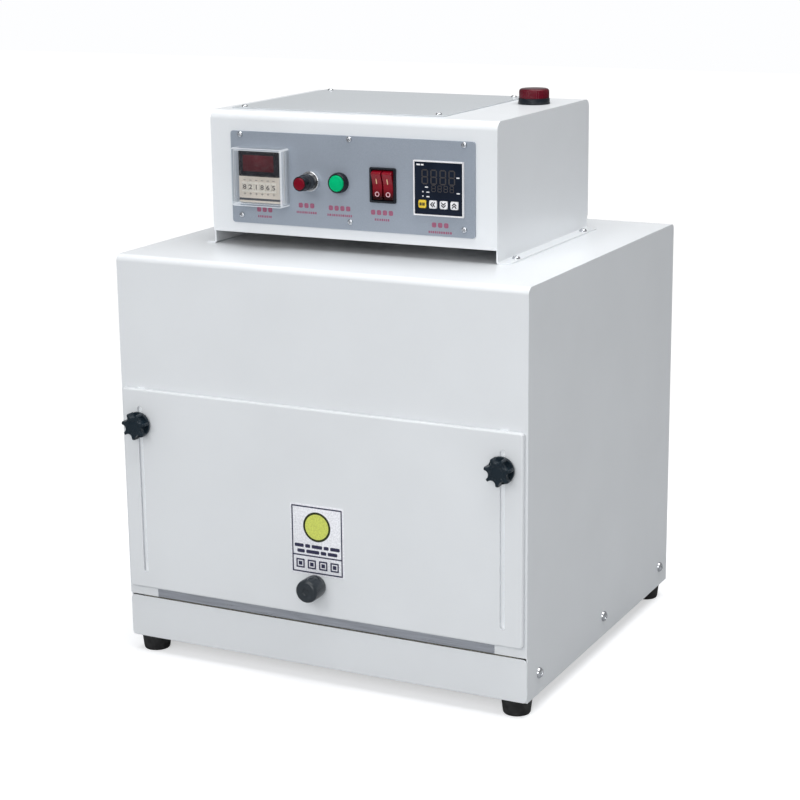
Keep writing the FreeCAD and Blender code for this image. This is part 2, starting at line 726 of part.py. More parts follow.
def arc_about(sketch, x, y, radius, start, sweep):
    """An arc about a fixed centre, from a start angle in degrees through a sweep."""
    ring = Part.Circle(Vector(sized(x).number, sized(y).number, 0), Vector(0, 0, 1), sized(radius).number)
    first, last = math.radians(start), math.radians(start + sweep)
    index = sketch.addGeometry(Part.ArcOfCircle(ring, first, last))
    pin_point(sketch, index, 3, x, y)
    pin_radius(sketch, index, radius)
    return index


def straight(sketch, start, end):
    points = [Vector(sized(x).number, sized(y).number, 0) for x, y in (start, end)]
    return sketch.addGeometry(Part.LineSegment(*points))


def join(sketch, *ends):
    """Makes each listed pair of end points meet."""
    for first, second in ends:
        sketch.addConstraint(Sketcher.Constraint("Tangent", *first, *second))


def pipe(body, profile, path):
    feature = body.newObject("PartDesign::AdditivePipe", body.Name + "_pipe")
    feature.Profile = profile
    feature.Spine = path
    doc.recompute()
    return feature


def heating_element(name, z):
    """One tubular element, bent three times, with both ends through the back wall."""
    body = doc.addObject("PartDesign::Body", name)
    bend = d.heater_bend
    turn_front = FRONT + 78
    turn_back = MIDDLE
    path = sketch_on(body, "XY_Plane", z)
    leg_a = straight(path, (-d.heater_reach, HEATER_END), (-d.heater_reach, turn_front))
    arc_a = arc_about(path, -bend * 2, turn_front, bend, 180, 180)
    leg_b = straight(path, (-bend, turn_front), (-bend, turn_back))
    arc_b = arc_about(path, 0, turn_back, bend, 0, 180)
    leg_c = straight(path, (bend, turn_back), (bend, turn_front))
    arc_c = arc_about(path, bend * 2, turn_front, bend, 180, 180)
    leg_d = straight(path, (d.heater_reach, turn_front), (d.heater_reach, HEATER_END))
    join(path, ((leg_a, 2), (arc_a, 1)), ((arc_a, 2), (leg_b, 1)), ((leg_b, 2), (arc_b, 2)),
         ((arc_b, 1), (leg_c, 1)), ((leg_c, 2), (arc_c, 1)), ((arc_c, 2), (leg_d, 1)))
    pin_point(path, leg_a, 1, -d.heater_reach, HEATER_END)
    pin_point(path, leg_d, 2, d.heater_reach, HEATER_END)
    profile = sketch_on(body, "XZ_Plane", -HEATER_END)
    circle(profile, -d.heater_reach, z, d.heater_radius)
    doc.recompute()
    pipe(body, profile, path)
    return body


def heating_elements():
    lower = heating_element("lower_element", HEATER_LOW)
    upper = heating_element("upper_element", HEATER_HIGH)
    subpart(fuse("heating_elements_group", lower, upper), "heating_elements")


RAIL_Z = FLOOR + d.rail_height
RAIL_FRONT = FRONT + 20
RAIL_BACK = LINER_BACK - d.liner_wall - d.baffle_depth - 2


def rack_rails():
    wall = MOUTH_SIDE - d.liner_wall
    rails = []
    for name, sign in (("left", -1), ("right", 1)):
        outer = wall * sign
        shelf_edge = (wall - d.rail_width) * sign
        web_edge = (wall - d.liner_wall) * sign
        ordered = (outer, shelf_edge) if sign < 0 else (shelf_edge, outer)
        web_range = (outer, web_edge) if sign < 0 else (web_edge, outer)
        shelf = block(f"{name}_shelf", ordered, (RAIL_FRONT, RAIL_BACK), (RAIL_Z - d.liner_wall, RAIL_Z))
        web = block(f"{name}_web", web_range, (RAIL_FRONT, RAIL_BACK), (RAIL_Z - d.rail_width, RAIL_Z))
        rails.append(fuse(f"{name}_rail", shelf, web))
    subpart(fuse("rack_rails_group", *rails), "rack_rails")


def wire_rack():
    body = doc.addObject("PartDesign::Body", "rack_frame")
    side, bend = d.rack_half_width, d.rack_bend
    front, back = FRONT + d.rack_inset + d.rack_wire, FRONT + d.rack_inset + d.rack_depth - d.rack_wire
    height = RAIL_Z + d.free_fit + d.rack_wire
    path = sketch_on(body, "XY_Plane", height)
    low, high = front + bend, back - bend
    near, far = -side + bend, side - bend
    bottom = straight(path, (near, front), (far, front))
    corner_a = arc_about(path, far, low, bend, 270, 90)
    right = straight(path, (side, low), (side, high))
    corner_b = arc_about(path, far, high, bend, 0, 90)
    top = straight(path, (far, back), (near, back))
    corner_c = arc_about(path, near, high, bend, 90, 90)
    left = straight(path, (-side, high), (-side, low))
    corner_d = arc_about(path, near, low, bend, 180, 90)
    loop = [bottom, corner_a, right, corner_b, top, corner_c, left, corner_d]
    join(path, *[((loop[i], 2), (loop[(i + 1) % 8], 1)) for i in range(8)])
    profile = sketch_on(body, "YZ_Plane", near)
    circle(profile, front, height, d.rack_wire)
    doc.recompute()
    pipe(body, profile, path)
    rungs = []
    count = 15
    for i in range(count):
        x = -side + side * 2 * (i + 1) / (count + 1)
        rungs.append(rod(f"rung_{i}", d.rack_rung, back - front, x, front, height))
    for i, y in enumerate((front + (back - front) / 3, front + (back - front) * 2 / 3)):
        rungs.append(rod(f"cross_bar_{i}", d.rack_rung, side * 2, -side, y, height - d.rack_rung * 0.7, "x"))
    subpart(fuse("wire_rack_solid", body, *rungs), "wire_rack")


def fan_baffle():
    body = new_body("fan_baffle")
    back = LINER_BACK - d.liner_wall
    outer = sketch_on(body, "XZ_Plane", -back)
    rectangle(outer, both(d.baffle_width / 2), spread(CHAMBER_MID, d.baffle_height))
    pad(body, outer, d.baffle_depth)
    hollow = sketch_on(body, "XZ_Plane", -(back - d.baffle_depth + d.liner_wall))
    wall = d.liner_wall * 2
    rectangle(hollow, both((d.baffle_width - wall) / 2), spread(CHAMBER_MID, d.baffle_height - wall))
    pocket(body, hollow, d.baffle_depth)
    holes = sketch_on(body, "XZ_Plane", -(back - d.baffle_depth))
    for ring, count in ((18, 8), (34, 14), (50, 20)):
        for i in range(count):
            angle = 2 * math.pi * i / count
            circle(holes, ring * math.cos(angle), CHAMBER_MID + ring * math.sin(angle), 4)
    pocket(body, holes, d.liner_wall * 2)


IMPELLER_BACK = LINER_BACK - d.liner_wall - 3


def fan_impeller():
    front = IMPELLER_BACK - d.fan_width
    hub = rod("fan_hub", d.hub_radius, d.fan_width, 0, front, CHAMBER_MID)
    plate = rod("fan_plate", d.fan_radius, d.liner_wall, 0, IMPELLER_BACK - d.liner_wall, CHAMBER_MID)
    blades = []
    count = 10
    for i in range(count):
        blade = doc.addObject("Part::Box", f"fan_blade_{i}")
        bind(blade, Length=d.fan_radius - 8, Width=d.fan_width, Height=d.liner_wall)
        put(blade, 0, front, CHAMBER_MID, Rotation(Vector(0, 1, 0), 360 * i / count))
        blades.append(blade)
    bore = rod("fan_bore", d.shaft_radius, d.fan_width + 2, 0, front - 1, CHAMBER_MID)
    wheel = fuse("fan_wheel", hub, plate, *blades)
    subpart(cut("fan_impeller_solid", wheel, bore), "fan_impeller")


def fan_shaft():
    front = IMPELLER_BACK - d.fan_width - 2
    shaft = rod("fan_shaft_solid", d.shaft_radius, WOOL_BACK + 16 - front, 0, front, CHAMBER_MID)
    subpart(shaft, "fan_shaft")


def fan_motor():
    mount = block("motor_mount", both(60), (WOOL_BACK, WOOL_BACK + 2), spread(CHAMBER_MID, 120))
    can = rod("motor_can", d.motor_radius, d.motor_length, 0, WOOL_BACK + 2, CHAMBER_MID)
    bore = rod("motor_bore", d.shaft_radius + d.run_fit, 20, 0, WOOL_BACK - 1, CHAMBER_MID)
    subpart(cut("fan_motor_solid", fuse("motor_outer", mount, can), bore), "fan_motor")


def thermocouple():
    inside = LINER_BACK - d.liner_wall
    probe = rod("probe_rod", 1.5, WOOL_BACK + 8 - (inside - 60), PROBE_X, inside - 60, PROBE_Z)
    gland = rod("probe_gland", 5, 5, PROBE_X, inside - 5, PROBE_Z)
    subpart(fuse("thermocouple_solid", probe, gland), "thermocouple")


# ---------------------------------------------------------------- door

def door_panel():
    body = new_body("door_panel")
    high = DOOR_LOW + d.door_height
    sketch = sketch_on(body, "XZ_Plane", -DOOR_BACK)
    rectangle(sketch, both(d.door_width / 2), (DOOR_LOW, high))
    pad(body, sketch, d.door_depth)
    corners = [(x, z) for x in both(d.door_width / 2) for z in (DOOR_LOW, high)]
    round_edges(body, 3, "y", *corners)
    round_rim(body, d.door_edge, DOOR_FRONT)
    fold = sketch_on(body, "XZ_Plane", -(DOOR_FRONT + d.skin))
    rectangle(fold, both(d.door_width / 2 - d.skin), (DOOR_LOW + d.skin, high - d.skin))
    pocket(body, fold, d.door_depth)
    slots = sketch_on(body, "XZ_Plane", -DOOR_FRONT)
    radius = d.slot_width / 2
    slot_low = DOOR_LOW + d.slot_rise
    for x in both(STUD_X):
        upright_slot(slots, x, slot_low + radius, slot_low + d.slot_length - radius, radius)
    circle(slots, 0, DOOR_LOW + d.handle_rise, 2.5)
    pocket(body, slots, d.skin * 2)


def door_handle():
    z = DOOR_LOW + d.handle_rise
    grip = rod("handle_grip", d.handle_radius, d.handle_length, 0, DOOR_FRONT - d.handle_length, z)
    doc.recompute()
    rounded = doc.addObject("Part::Fillet", "handle_rounded")
    rounded.Base = grip
    front = (DOOR_FRONT - d.handle_length).number
    rim = [i for i, e in enumerate(grip.Shape.Edges, start=1) if e.Closed and e.CenterOfMass.y < front + 1]
    rounded.Edges = [(i, 3, 3) for i in rim]
    stud = rod("handle_stud", 2.4, d.skin + 4, 0, DOOR_FRONT - 2, z)
    subpart(fuse("door_handle_solid", rounded, stud), "door_handle")


def door_studs():
    inner = FRONT + d.skin
    reach = KNOB_BACK - 6
    studs = []
    for name, x in zip(("left", "right"), both(STUD_X)):
        shank = rod(f"{name}_stud_shank", d.stud_radius, inner + 2 - reach, x, reach, STUD_Z)
        head = rod(f"{name}_stud_head", 6, 2, x, inner, STUD_Z)
        studs.append(fuse(f"{name}_stud", shank, head))
    subpart(fuse("door_studs_group", *studs), "door_studs")


WASHER_BACK = DOOR_FRONT - d.free_fit
KNOB_BACK = WASHER_BACK - 1.2 - d.free_fit
INSERT_LENGTH = sized(7)


def knob_washers():
    washers = []
    for name, x in zip(("left", "right"), both(STUD_X)):
        disc = rod(f"{name}_washer_disc", 7.5, 1.2, x, WASHER_BACK - 1.2, STUD_Z)
        hole = rod(f"{name}_washer_hole", d.stud_radius + d.run_fit, 3, x, WASHER_BACK - 2, STUD_Z)
        washers.append(cut(f"{name}_washer", disc, hole))
    subpart(fuse("knob_washers_group", *washers), "knob_washers")


def knob_insert(label, x):
    sleeve = rod(label + "_sleeve", d.insert_radius, INSERT_LENGTH, x, KNOB_BACK - INSERT_LENGTH, STUD_Z)
    bore = rod(label + "_bore", d.stud_radius + d.run_fit, 12, x, KNOB_BACK - 10, STUD_Z)
    subpart(cut(label + "_solid", sleeve, bore), label)


def star_knob(label, x):
    """Seven lobes, left between seven scallops cut in a disc."""
    body = new_body(label)
    disc = sketch_on(body, "XZ_Plane")
    circle(disc, 0, 0, d.knob_radius)
    pad(body, disc, d.knob_depth)
    socket = sketch_on(body, "XZ_Plane")
    circle(socket, 0, 0, d.insert_radius + d.run_fit)
    pocket_from_back(body, socket, INSERT_LENGTH)
    scallop = sketch_on(body, "XZ_Plane", d.knob_depth)
    circle(scallop, 0, d.knob_radius + 0.5, 4.2)
    first = pocket(body, scallop, d.knob_depth - 3)
    ring_pattern(body, first, "Y_Axis", 7)
    put(body, x, KNOB_BACK, STUD_Z)


def pocket_from_back(body, sketch, length):
    """Cuts along the sketch's normal."""
    before = body.Shape.Volume
    feature = body.newObject("PartDesign::Pocket", body.Name + "_socket")
    feature.Profile = sketch
    feature.Reversed = True
    bind(feature, Length=length)
    doc.recompute()
    if body.Shape.Volume > before - 0.01:
        raise RuntimeError(f"{body.Label}: a socket cuts nothing")


# ---------------------------------------------------------------- control box

def control_box_wrap():
    body = new_body("control_box_wrap")
    low = TOP + d.box_lift
    sketch = bent_sheet(body, BOX_FRONT, BOX_BACK, low, low, BOX_TOP)
    sketch.setExpression(".AttachmentOffset.Base.z", d.box_offset.formula)
    pad(body, sketch, d.box_width, symmetric=True)
    round_edges(body, d.box_bend, "x", (BOX_FRONT, BOX_TOP), (BOX_BACK, BOX_TOP))
    inside = BOX_TOP - d.skin
    inner_bends = [(BOX_FRONT + d.skin, inside), (BOX_BACK - d.skin, inside)]
    round_edges(body, d.box_bend - d.skin, "x", *inner_bends)
    window = sketch_on(body, "XZ_Plane", -BOX_FRONT)
    rectangle(window, spread(d.plate_offset, d.window_width), spread(PANEL_Z, d.window_height))
    for x in PLATE_SCREW_X:
        for z in PLATE_SCREW_Z:
            circle(window, x, z, PLATE_HOLE)
    pocket(body, window, d.skin * 2)
    hatch = sketch_on(body, "XY_Plane", BOX_TOP)
    margin = d.lid_margin * 2
    rectangle(hatch, (LID_X[0] + margin, LID_X[1] - margin), (LID_Y[0] + margin, LID_Y[1] - margin))
    for x in LID_SCREW_X:
        for y in LID_SCREW_Y:
            circle(hatch, x, y, PLATE_HOLE)
    circle(hatch, d.beacon_place, BOX_FRONT + d.beacon_setback, 11)
    pocket(body, hatch, d.skin * 2)
    vents = sketch_on(body, "XZ_Plane", -(BOX_BACK - d.skin * 2))
    for i in range(7):
        rectangle(vents, spread(d.box_offset - 60 + 20 * i, 5), (PANEL_Z - 20, PANEL_Z + 20))
    pocket(body, vents, d.skin * 3)


def control_box_cheek(label, sign):
    """A side plate that stands on the cabinet, with its foot flange turned outwards."""
    body = new_body(label)
    outer = BOX_RIGHT if sign > 0 else BOX_LEFT
    inner = outer - d.skin * sign
    toe = outer + d.flange_width * sign
    front, back = BOX_FRONT + d.skin, BOX_BACK - d.skin
    high = BOX_TOP - d.skin
    sketch = sketch_on(body, "XZ_Plane", -back)
    polygon(sketch, [(inner, TOP), (toe, TOP), (toe, TOP + d.skin), (outer, TOP + d.skin),
                     (outer, high), (inner, high)])
    pad(body, sketch, back - front)
    round_edges(body, d.box_bend - d.skin, "x", (front, high), (back, high))
    round_edges(body, 6, "z", (toe, front), (toe, back))
    round_edges(body, 2.5, "y", (inner, TOP))
    round_edges(body, 1, "y", (outer, TOP + d.skin))
    holes = sketch_on(body, "XY_Plane", TOP + d.skin)
    for y in FLANGE_SCREW_Y:
        circle(holes, FLANGE_SCREW_X[0] if sign < 0 else FLANGE_SCREW_X[1], y, SMALL_HOLE)
    pocket(body, holes, d.skin * 2)


def control_box_lid():
    body = new_body("control_box_lid")
    sketch = sketch_on(body, "XY_Plane", BOX_TOP)
    rectangle(sketch, LID_X, LID_Y)
    for x in LID_SCREW_X:
        for y in LID_SCREW_Y:
            circle(sketch, x, y, PLATE_HOLE)
    pad(body, sketch, d.lid_thick)
    round_edges(body, 2, "z", *[(x, y) for x in LID_X for y in LID_Y])


def solid_state_relay():
    middle = MIDDLE + 60
    sink = block("relay_sink", spread(70, 60), spread(middle, 80), (TOP, TOP + 5))
    case = block("relay_case", spread(70, 45), spread(middle, 58), (TOP + 5, TOP + 27))
    subpart(fuse("solid_state_relay_solid", sink, case), "solid_state_relay")


def terminal_block():
    middle = MIDDLE + 85
    bar = block("terminal_bar", spread(-60, 96), spread(middle, 24), (TOP, TOP + 8))
    teeth = [block(f"terminal_{i}", spread(-100 + 16 * i, 12), spread(middle, 20), (TOP + 8, TOP + 18))
             for i in range(6)]
    subpart(fuse("terminal_block_solid", bar, *teeth), "terminal_block")


def beacon():
    x, y = d.beacon_place, BOX_FRONT + d.beacon_setback
    collar = rod("beacon_collar", d.beacon_radius, d.beacon_base, x, y, BOX_TOP, "z")
    stem = rod("beacon_stem", 10.9, 26, x, y, BOX_TOP - 26, "z")
    subpart(fuse("beacon_base_solid", collar, stem), "beacon_base")
    dome = rod("beacon_dome", d.beacon_radius - 0.9, d.beacon_lens, x, y, BOX_TOP + d.beacon_base, "z")
    doc.recompute()
    rounded = doc.addObject("Part::Fillet", "beacon_rounded")
    rounded.Base = dome
    high = (BOX_TOP + d.beacon_base).number + 1
    rim = [i for i, e in enumerate(dome.Shape.Edges, start=1) if e.Closed and e.CenterOfMass.z > high]
    rounded.Edges = [(i, 3.5, 3.5) for i in rim]
    subpart(rounded, "beacon_lens")


# ---------------------------------------------------------------- instruments

TIMER_X = d.plate_offset + d.timer_place
BUZZER_X = d.plate_offset + d.buzzer_place
START_X = d.plate_offset + d.start_place
SWITCH_X = d.plate_offset + d.switch_place
METER_X = d.plate_offset + d.meter_place
TIMER_FRONT = PLATE_FRONT - d.timer_proud
WHEEL_Y = TIMER_FRONT - d.wheel_proud + d.wheel_radius
TIMER_Z = PANEL_Z + d.timer_lift
WHEEL_Z = TIMER_Z - d.wheel_drop
METER_FRONT = PLATE_FRONT - d.meter_proud
PIVOT_Y = PLATE_FRONT + 3
SWITCH_BODY = (d.switch_width - 2.1, d.switch_height - 2)


def instrument_panel():
    body = new_body("instrument_panel")
    sketch = sketch_on(body, "XZ_Plane", -BOX_FRONT)
    rectangle(sketch, spread(d.plate_offset, d.plate_width), spread(PANEL_Z, d.plate_height))
    for x in PLATE_SCREW_X:
        for z in PLATE_SCREW_Z:
            circle(sketch, x, z, PLATE_HOLE)
    opening = d.module_body + d.free_fit * 2
    rectangle(sketch, spread(TIMER_X, opening), spread(TIMER_Z, opening))
    rectangle(sketch, spread(METER_X, opening), spread(PANEL_Z, opening))
    circle(sketch, BUZZER_X, PANEL_Z, d.buzzer_radius + d.free_fit)
    circle(sketch, START_X, PANEL_Z, d.start_radius - 1.2)
    gap = d.free_fit * 2
    rectangle(sketch, spread(SWITCH_X, SWITCH_BODY[0] + gap), spread(PANEL_Z, SWITCH_BODY[1] + gap))
    pad(body, sketch, d.plate_thick)
    corners = [(x, z) for x in spread(d.plate_offset, d.plate_width) for z in spread(PANEL_Z, d.plate_height)]
    round_edges(body, 2.5, "y", *corners)


def timer():
    flange = block("timer_flange", spread(TIMER_X, d.module), (PLATE_FRONT - d.timer_flange, PLATE_FRONT),
                   spread(TIMER_Z, d.module))
    raised = block("timer_raised", spread(TIMER_X, d.timer_width), (TIMER_FRONT, PLATE_FRONT - 1),
                   spread(TIMER_Z, d.timer_height))
    rear = block("timer_rear", spread(TIMER_X, d.module_body), (PLATE_FRONT, PLATE_FRONT + 70),
                 spread(TIMER_Z, d.module_body))
    display_high = TIMER_Z + d.timer_height / 2 - d.timer_rim
    display = (spread(TIMER_X, d.timer_width - d.timer_rim * 2), (TIMER_FRONT, TIMER_FRONT + 1.5),
               (TIMER_Z + 1.2, display_high))
    recess = block("timer_recess", display[0], (TIMER_FRONT - 1, display[1][1]), display[2])
    count = 6
    bay = block("timer_bay", spread(TIMER_X, d.wheel_pitch * count + 0.6),
                (TIMER_FRONT + d.wheel_wall, WHEEL_Y + 8.6), spread(WHEEL_Z, d.wheel_radius * 2 + 1))
    places = [TIMER_X + d.wheel_pitch * (i - (count - 1) / 2) for i in range(count)]
    gates = [block(f"timer_gate_{i}", spread(x, d.wheel_width + 0.4), (TIMER_FRONT - 1, TIMER_FRONT + 2),
                   spread(WHEEL_Z, d.wheel_gate)) for i, x in enumerate(places)]
    axle = rod("timer_axle", d.wheel_axle, d.wheel_pitch * count + 2, TIMER_X - d.wheel_pitch * count / 2 - 1,
               WHEEL_Y, WHEEL_Z, "x")
    case = cut("timer_case_hollow", fuse("timer_outer", flange, raised, rear), recess, bay, *gates)
    subpart(fuse("timer_case_solid", case, axle), "timer_case")
    gap = d.free_fit
    pane = block("timer_pane", (display[0][0] + gap, display[0][1] - gap), (TIMER_FRONT + 0.2, display[1][1]),
                 (display[2][0] + gap, display[2][1] - gap))
    subpart(pane, "timer_display")
    for i, x in enumerate(places, start=1):
        start = x - d.wheel_width / 2
        rim = rod(f"wheel_rim_{i}", d.wheel_radius, d.wheel_width, start, WHEEL_Y, WHEEL_Z, "x")
        bore = rod(f"wheel_bore_{i}", d.wheel_axle + d.run_fit, d.wheel_width + 2, start - 1,
                   WHEEL_Y, WHEEL_Z, "x")
        subpart(cut(f"digit_wheel_{i}_solid", rim, bore), f"digit_wheel_{i}")


def timer_cover():
    gap = d.free_fit
    inner = d.module + gap * 2
    outer = inner + d.cover_wall * 2
    front = PLATE_FRONT - d.cover_proud
    shell = block("cover_shell", spread(TIMER_X, outer), (front, PLATE_FRONT - gap), spread(TIMER_Z, outer))
    hollow = block("cover_hollow", spread(TIMER_X, inner), (front + d.cover_wall, PLATE_FRONT + 1),
                   spread(TIMER_Z, inner))
    subpart(cut("timer_cover_solid", shell, hollow), "timer_cover")


def buzzer():
    front = PLATE_FRONT - d.buzzer_proud
    cap_radius = d.buzzer_radius - 0.6
    sleeve = rod("buzzer_tube", d.buzzer_radius, d.buzzer_proud + 22, BUZZER_X, front, PANEL_Z)
    bore = rod("buzzer_bore", cap_radius + d.free_fit, 10, BUZZER_X, front - 1, PANEL_Z)
    subpart(cut("buzzer_sleeve_solid", sleeve, bore), "buzzer_sleeve")
    ring = rod("buzzer_ring", d.buzzer_ring, 3.5, BUZZER_X, PLATE_FRONT - 3.5, PANEL_Z)
    hole = rod("buzzer_ring_hole", d.buzzer_radius + d.run_fit, 6, BUZZER_X, PLATE_FRONT - 5, PANEL_Z)
    subpart(cut("buzzer_ring_nut_solid", ring, hole), "buzzer_ring_nut")
    subpart(rod("buzzer_cap", cap_radius, 9.5, BUZZER_X, front - 3.5, PANEL_Z), "buzzer_button")


def start_button():
    front = PLATE_FRONT - d.start_proud
    cap_radius = d.start_radius - 2
    collar = rod("start_flange", d.start_radius, d.start_proud, START_X, front, PANEL_Z)
    tube = rod("start_tube", d.start_radius - 1.3, 20, START_X, PLATE_FRONT - 1, PANEL_Z)
    bore = rod("start_bore", cap_radius + d.free_fit, 14, START_X, front - 1, PANEL_Z)
    subpart(cut("start_collar_solid", fuse("start_outer", collar, tube), bore), "start_button_collar")
    subpart(rod("start_cap", cap_radius, 9, START_X, front - 1.2, PANEL_Z), "start_button")


def heating_switch():
    flange = block("switch_flange", spread(SWITCH_X, d.switch_width), (PLATE_FRONT - 2, PLATE_FRONT),
                   spread(PANEL_Z, d.switch_height))
    housing = block("switch_housing", spread(SWITCH_X, SWITCH_BODY[0]), (PLATE_FRONT - 1, PLATE_FRONT + 20),
                    spread(PANEL_Z, SWITCH_BODY[1]))
    well_width = d.rocker_width * 2 + 0.8
    well = block("switch_well", spread(SWITCH_X, well_width), (PLATE_FRONT - 3, PLATE_FRONT + 18),
                 spread(PANEL_Z, d.rocker_radius * 2 + 0.2))
    pivot = rod("switch_pivot", d.pivot_radius, well_width + 1, SWITCH_X - well_width / 2 - 0.5,
                PIVOT_Y, PANEL_Z, "x")
    frame = cut("switch_frame_hollow", fuse("switch_outer", flange, housing), well)
    subpart(fuse("rocker_frame_solid", frame, pivot), "rocker_frame")


def rocker(label, sign):
    """A rocker at rest with its low half pressed flush and its high half standing out."""
    body = new_body(label)
    x = SWITCH_X + (d.rocker_width / 2 + 0.2) * sign
    disc = sketch_on(body, "YZ_Plane", x)
    circle(disc, PIVOT_Y, PANEL_Z, d.rocker_radius)
    circle(disc, PIVOT_Y, PANEL_Z, d.pivot_radius + d.run_fit)
    pad(body, disc, d.rocker_width, symmetric=True)
    tilt = math.radians(d.rocker_throw.number)
    reach = sized(20)
    face = PIVOT_Y - d.rocker_face
    away = PIVOT_Y - 30
    front = sketch_on(body, "YZ_Plane", x + d.rocker_width)
    polygon(front, [(away, PANEL_Z - reach), (face, PANEL_Z - reach), (face, PANEL_Z),
                    (face - reach * math.sin(tilt), PANEL_Z + reach * math.cos(tilt)),
                    (away, PANEL_Z + reach)])
    pocket(body, front, d.rocker_width * 2)
    behind = sketch_on(body, "YZ_Plane", x + d.rocker_width)
    rectangle(behind, (PIVOT_Y + 6, PIVOT_Y + 20), spread(PANEL_Z, 40))
    pocket(body, behind, d.rocker_width * 2)


KEY_PLACES = {"set_key": -1.5, "shift_key": -0.5, "down_key": 0.5, "up_key": 1.5}
KEY_Z = PANEL_Z - d.key_drop


def controller():
    rim = d.module - d.meter_rim * 2
    bezel = block("meter_bezel", spread(METER_X, d.module), (METER_FRONT, PLATE_FRONT),
                  spread(PANEL_Z, d.module))
    rear = block("meter_rear", spread(METER_X, d.module_body), (PLATE_FRONT, PLATE_FRONT + 66),
                 spread(PANEL_Z, d.module_body))
    recess = block("meter_recess", spread(METER_X, rim), (METER_FRONT - 1, METER_FRONT + 1.6),
                   spread(PANEL_Z, rim))
    wells = []
    gates = []
    gap = d.free_fit * 2
    for name, step in KEY_PLACES.items():
        x = METER_X + d.key_pitch * step
        size = (spread(x, d.key_width + gap), spread(KEY_Z, d.key_height + gap))
        wells.append(block(name + "_well", size[0], (METER_FRONT - 1, METER_FRONT + 5), size[1]))
        gates.append(block(name + "_gate", size[0], (METER_FRONT - 1, METER_FRONT + 5), size[1]))
        key = block(name + "_cap", spread(x, d.key_width), (METER_FRONT - 0.3, METER_FRONT + 4),
                    spread(KEY_Z, d.key_height))
        subpart(key, name)
    subpart(cut("controller_case_solid", fuse("meter_outer", bezel, rear), recess, *wells), "controller_case")
    pane = block("meter_pane", spread(METER_X, rim - gap), (METER_FRONT + 0.5, METER_FRONT + 1.6),
                 spread(PANEL_Z, rim - gap))
    subpart(cut("controller_window_solid", pane, *gates), "controller_window")


# ---------------------------------------------------------------- build and export

cabinet_wrap()
side_panel("left_side_panel", -1)
side_panel("right_side_panel", 1)
base_pan()
lower_front_panel()
rear_cover()
mains_inlet()
feet()
chamber_liner()
chamber_insulation()
heating_elements()
rack_rails()
wire_rack()
fan_baffle()
fan_impeller()
fan_shaft()
fan_motor()
thermocouple()
door_panel()
door_handle()
door_studs()
knob_washers()
for prefix, stud_x in zip(("left", "right"), both(STUD_X)):
    knob_insert(prefix + "_knob_insert", stud_x)
    star_knob(prefix + "_knob", stud_x)
control_box_wrap()
control_box_cheek("control_box_left_cheek", -1)
control_box_cheek("control_box_right_cheek", 1)
control_box_lid()
solid_state_relay()
terminal_block()
beacon()
instrument_panel()
timer()
timer_cover()
buzzer()
start_button()
heating_switch()
rocker("left_rocker", -1)
rocker("right_rocker", 1)
controller()

doc.recompute()
faults = []
for item in doc.Objects:
    if "Invalid" in item.State or "Error" in item.State:
        faults.append(f"{item.Label}: {item.State}")
for item in subparts:
    if item.Shape.isNull() or not item.Shape.isValid():
        faults.append(f"{item.Label}: bad shape")
if faults:
    raise RuntimeError("; ".join(faults))
for item in subparts:
    item.Shape.exportStep(f"parts/{item.Label}.step")
print(len(subparts), "sub-parts written")
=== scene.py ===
import json
import math
import random

import bmesh
import bpy
from mathutils import Matrix, Vector


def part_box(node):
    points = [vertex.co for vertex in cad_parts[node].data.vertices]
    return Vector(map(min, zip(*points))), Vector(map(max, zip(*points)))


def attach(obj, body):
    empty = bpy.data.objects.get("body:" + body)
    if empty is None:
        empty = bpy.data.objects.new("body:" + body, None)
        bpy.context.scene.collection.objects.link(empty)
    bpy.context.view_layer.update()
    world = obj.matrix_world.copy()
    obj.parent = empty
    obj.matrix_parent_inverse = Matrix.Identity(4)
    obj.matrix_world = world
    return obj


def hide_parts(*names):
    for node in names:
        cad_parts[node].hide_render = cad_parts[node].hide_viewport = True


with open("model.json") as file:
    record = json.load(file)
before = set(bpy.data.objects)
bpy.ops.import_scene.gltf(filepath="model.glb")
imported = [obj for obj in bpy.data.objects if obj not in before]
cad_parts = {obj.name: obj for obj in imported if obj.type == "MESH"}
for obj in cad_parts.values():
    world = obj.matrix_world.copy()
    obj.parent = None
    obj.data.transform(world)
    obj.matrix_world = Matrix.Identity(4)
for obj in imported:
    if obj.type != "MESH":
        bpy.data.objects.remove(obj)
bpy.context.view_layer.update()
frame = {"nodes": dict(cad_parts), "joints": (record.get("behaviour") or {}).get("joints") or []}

# The looks of a bench-top reflow oven. Lengths are in millimetres until a piece is made.
# +X is the viewer's right, +Y runs from the door to the back, +Z is up.
MM = 0.001
HALF_TURN = math.pi
QUARTER_TURN = math.pi / 2
SAME_PLACE = 0.002 * MM
HARD_EDGE = math.radians(32)
FLAT_ENOUGH = math.radians(0.3)


# ---- places, taken from the frame

def span(node):
    """Lowest corner, highest corner and middle of a CAD node."""
    low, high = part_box(node)
    low, high = low / MM, high / MM
    return low, high, (low + high) / 2


# Depths of the front faces that other pieces stand on.
PLATE = span("instrument_panel")[0].y
DOOR = span("door_panel")[0].y


# For each side that a piece can face: its own left-to-right and its own upwards.
FACING = {
    "front": ((1, 0, 0), (0, 0, 1)),
    "back": ((-1, 0, 0), (0, 0, 1)),
    "right": ((0, 1, 0), (0, 0, 1)),
    "left": ((0, -1, 0), (0, 0, 1)),
    "up": ((1, 0, 0), (0, 1, 0)),
    "down": ((1, 0, 0), (0, -1, 0)),
}


def facing(side, x, y, z, turn=0.0):
    """Turns (across, up, outwards) of a piece that faces one side into the shared frame."""
    across, up = (Vector(v) for v in FACING[side])
    axes = Matrix((across, up, across.cross(up))).transposed().to_4x4()
    return Matrix.Translation((x, y, z)) @ axes @ Matrix.Rotation(turn, 4, "Z")


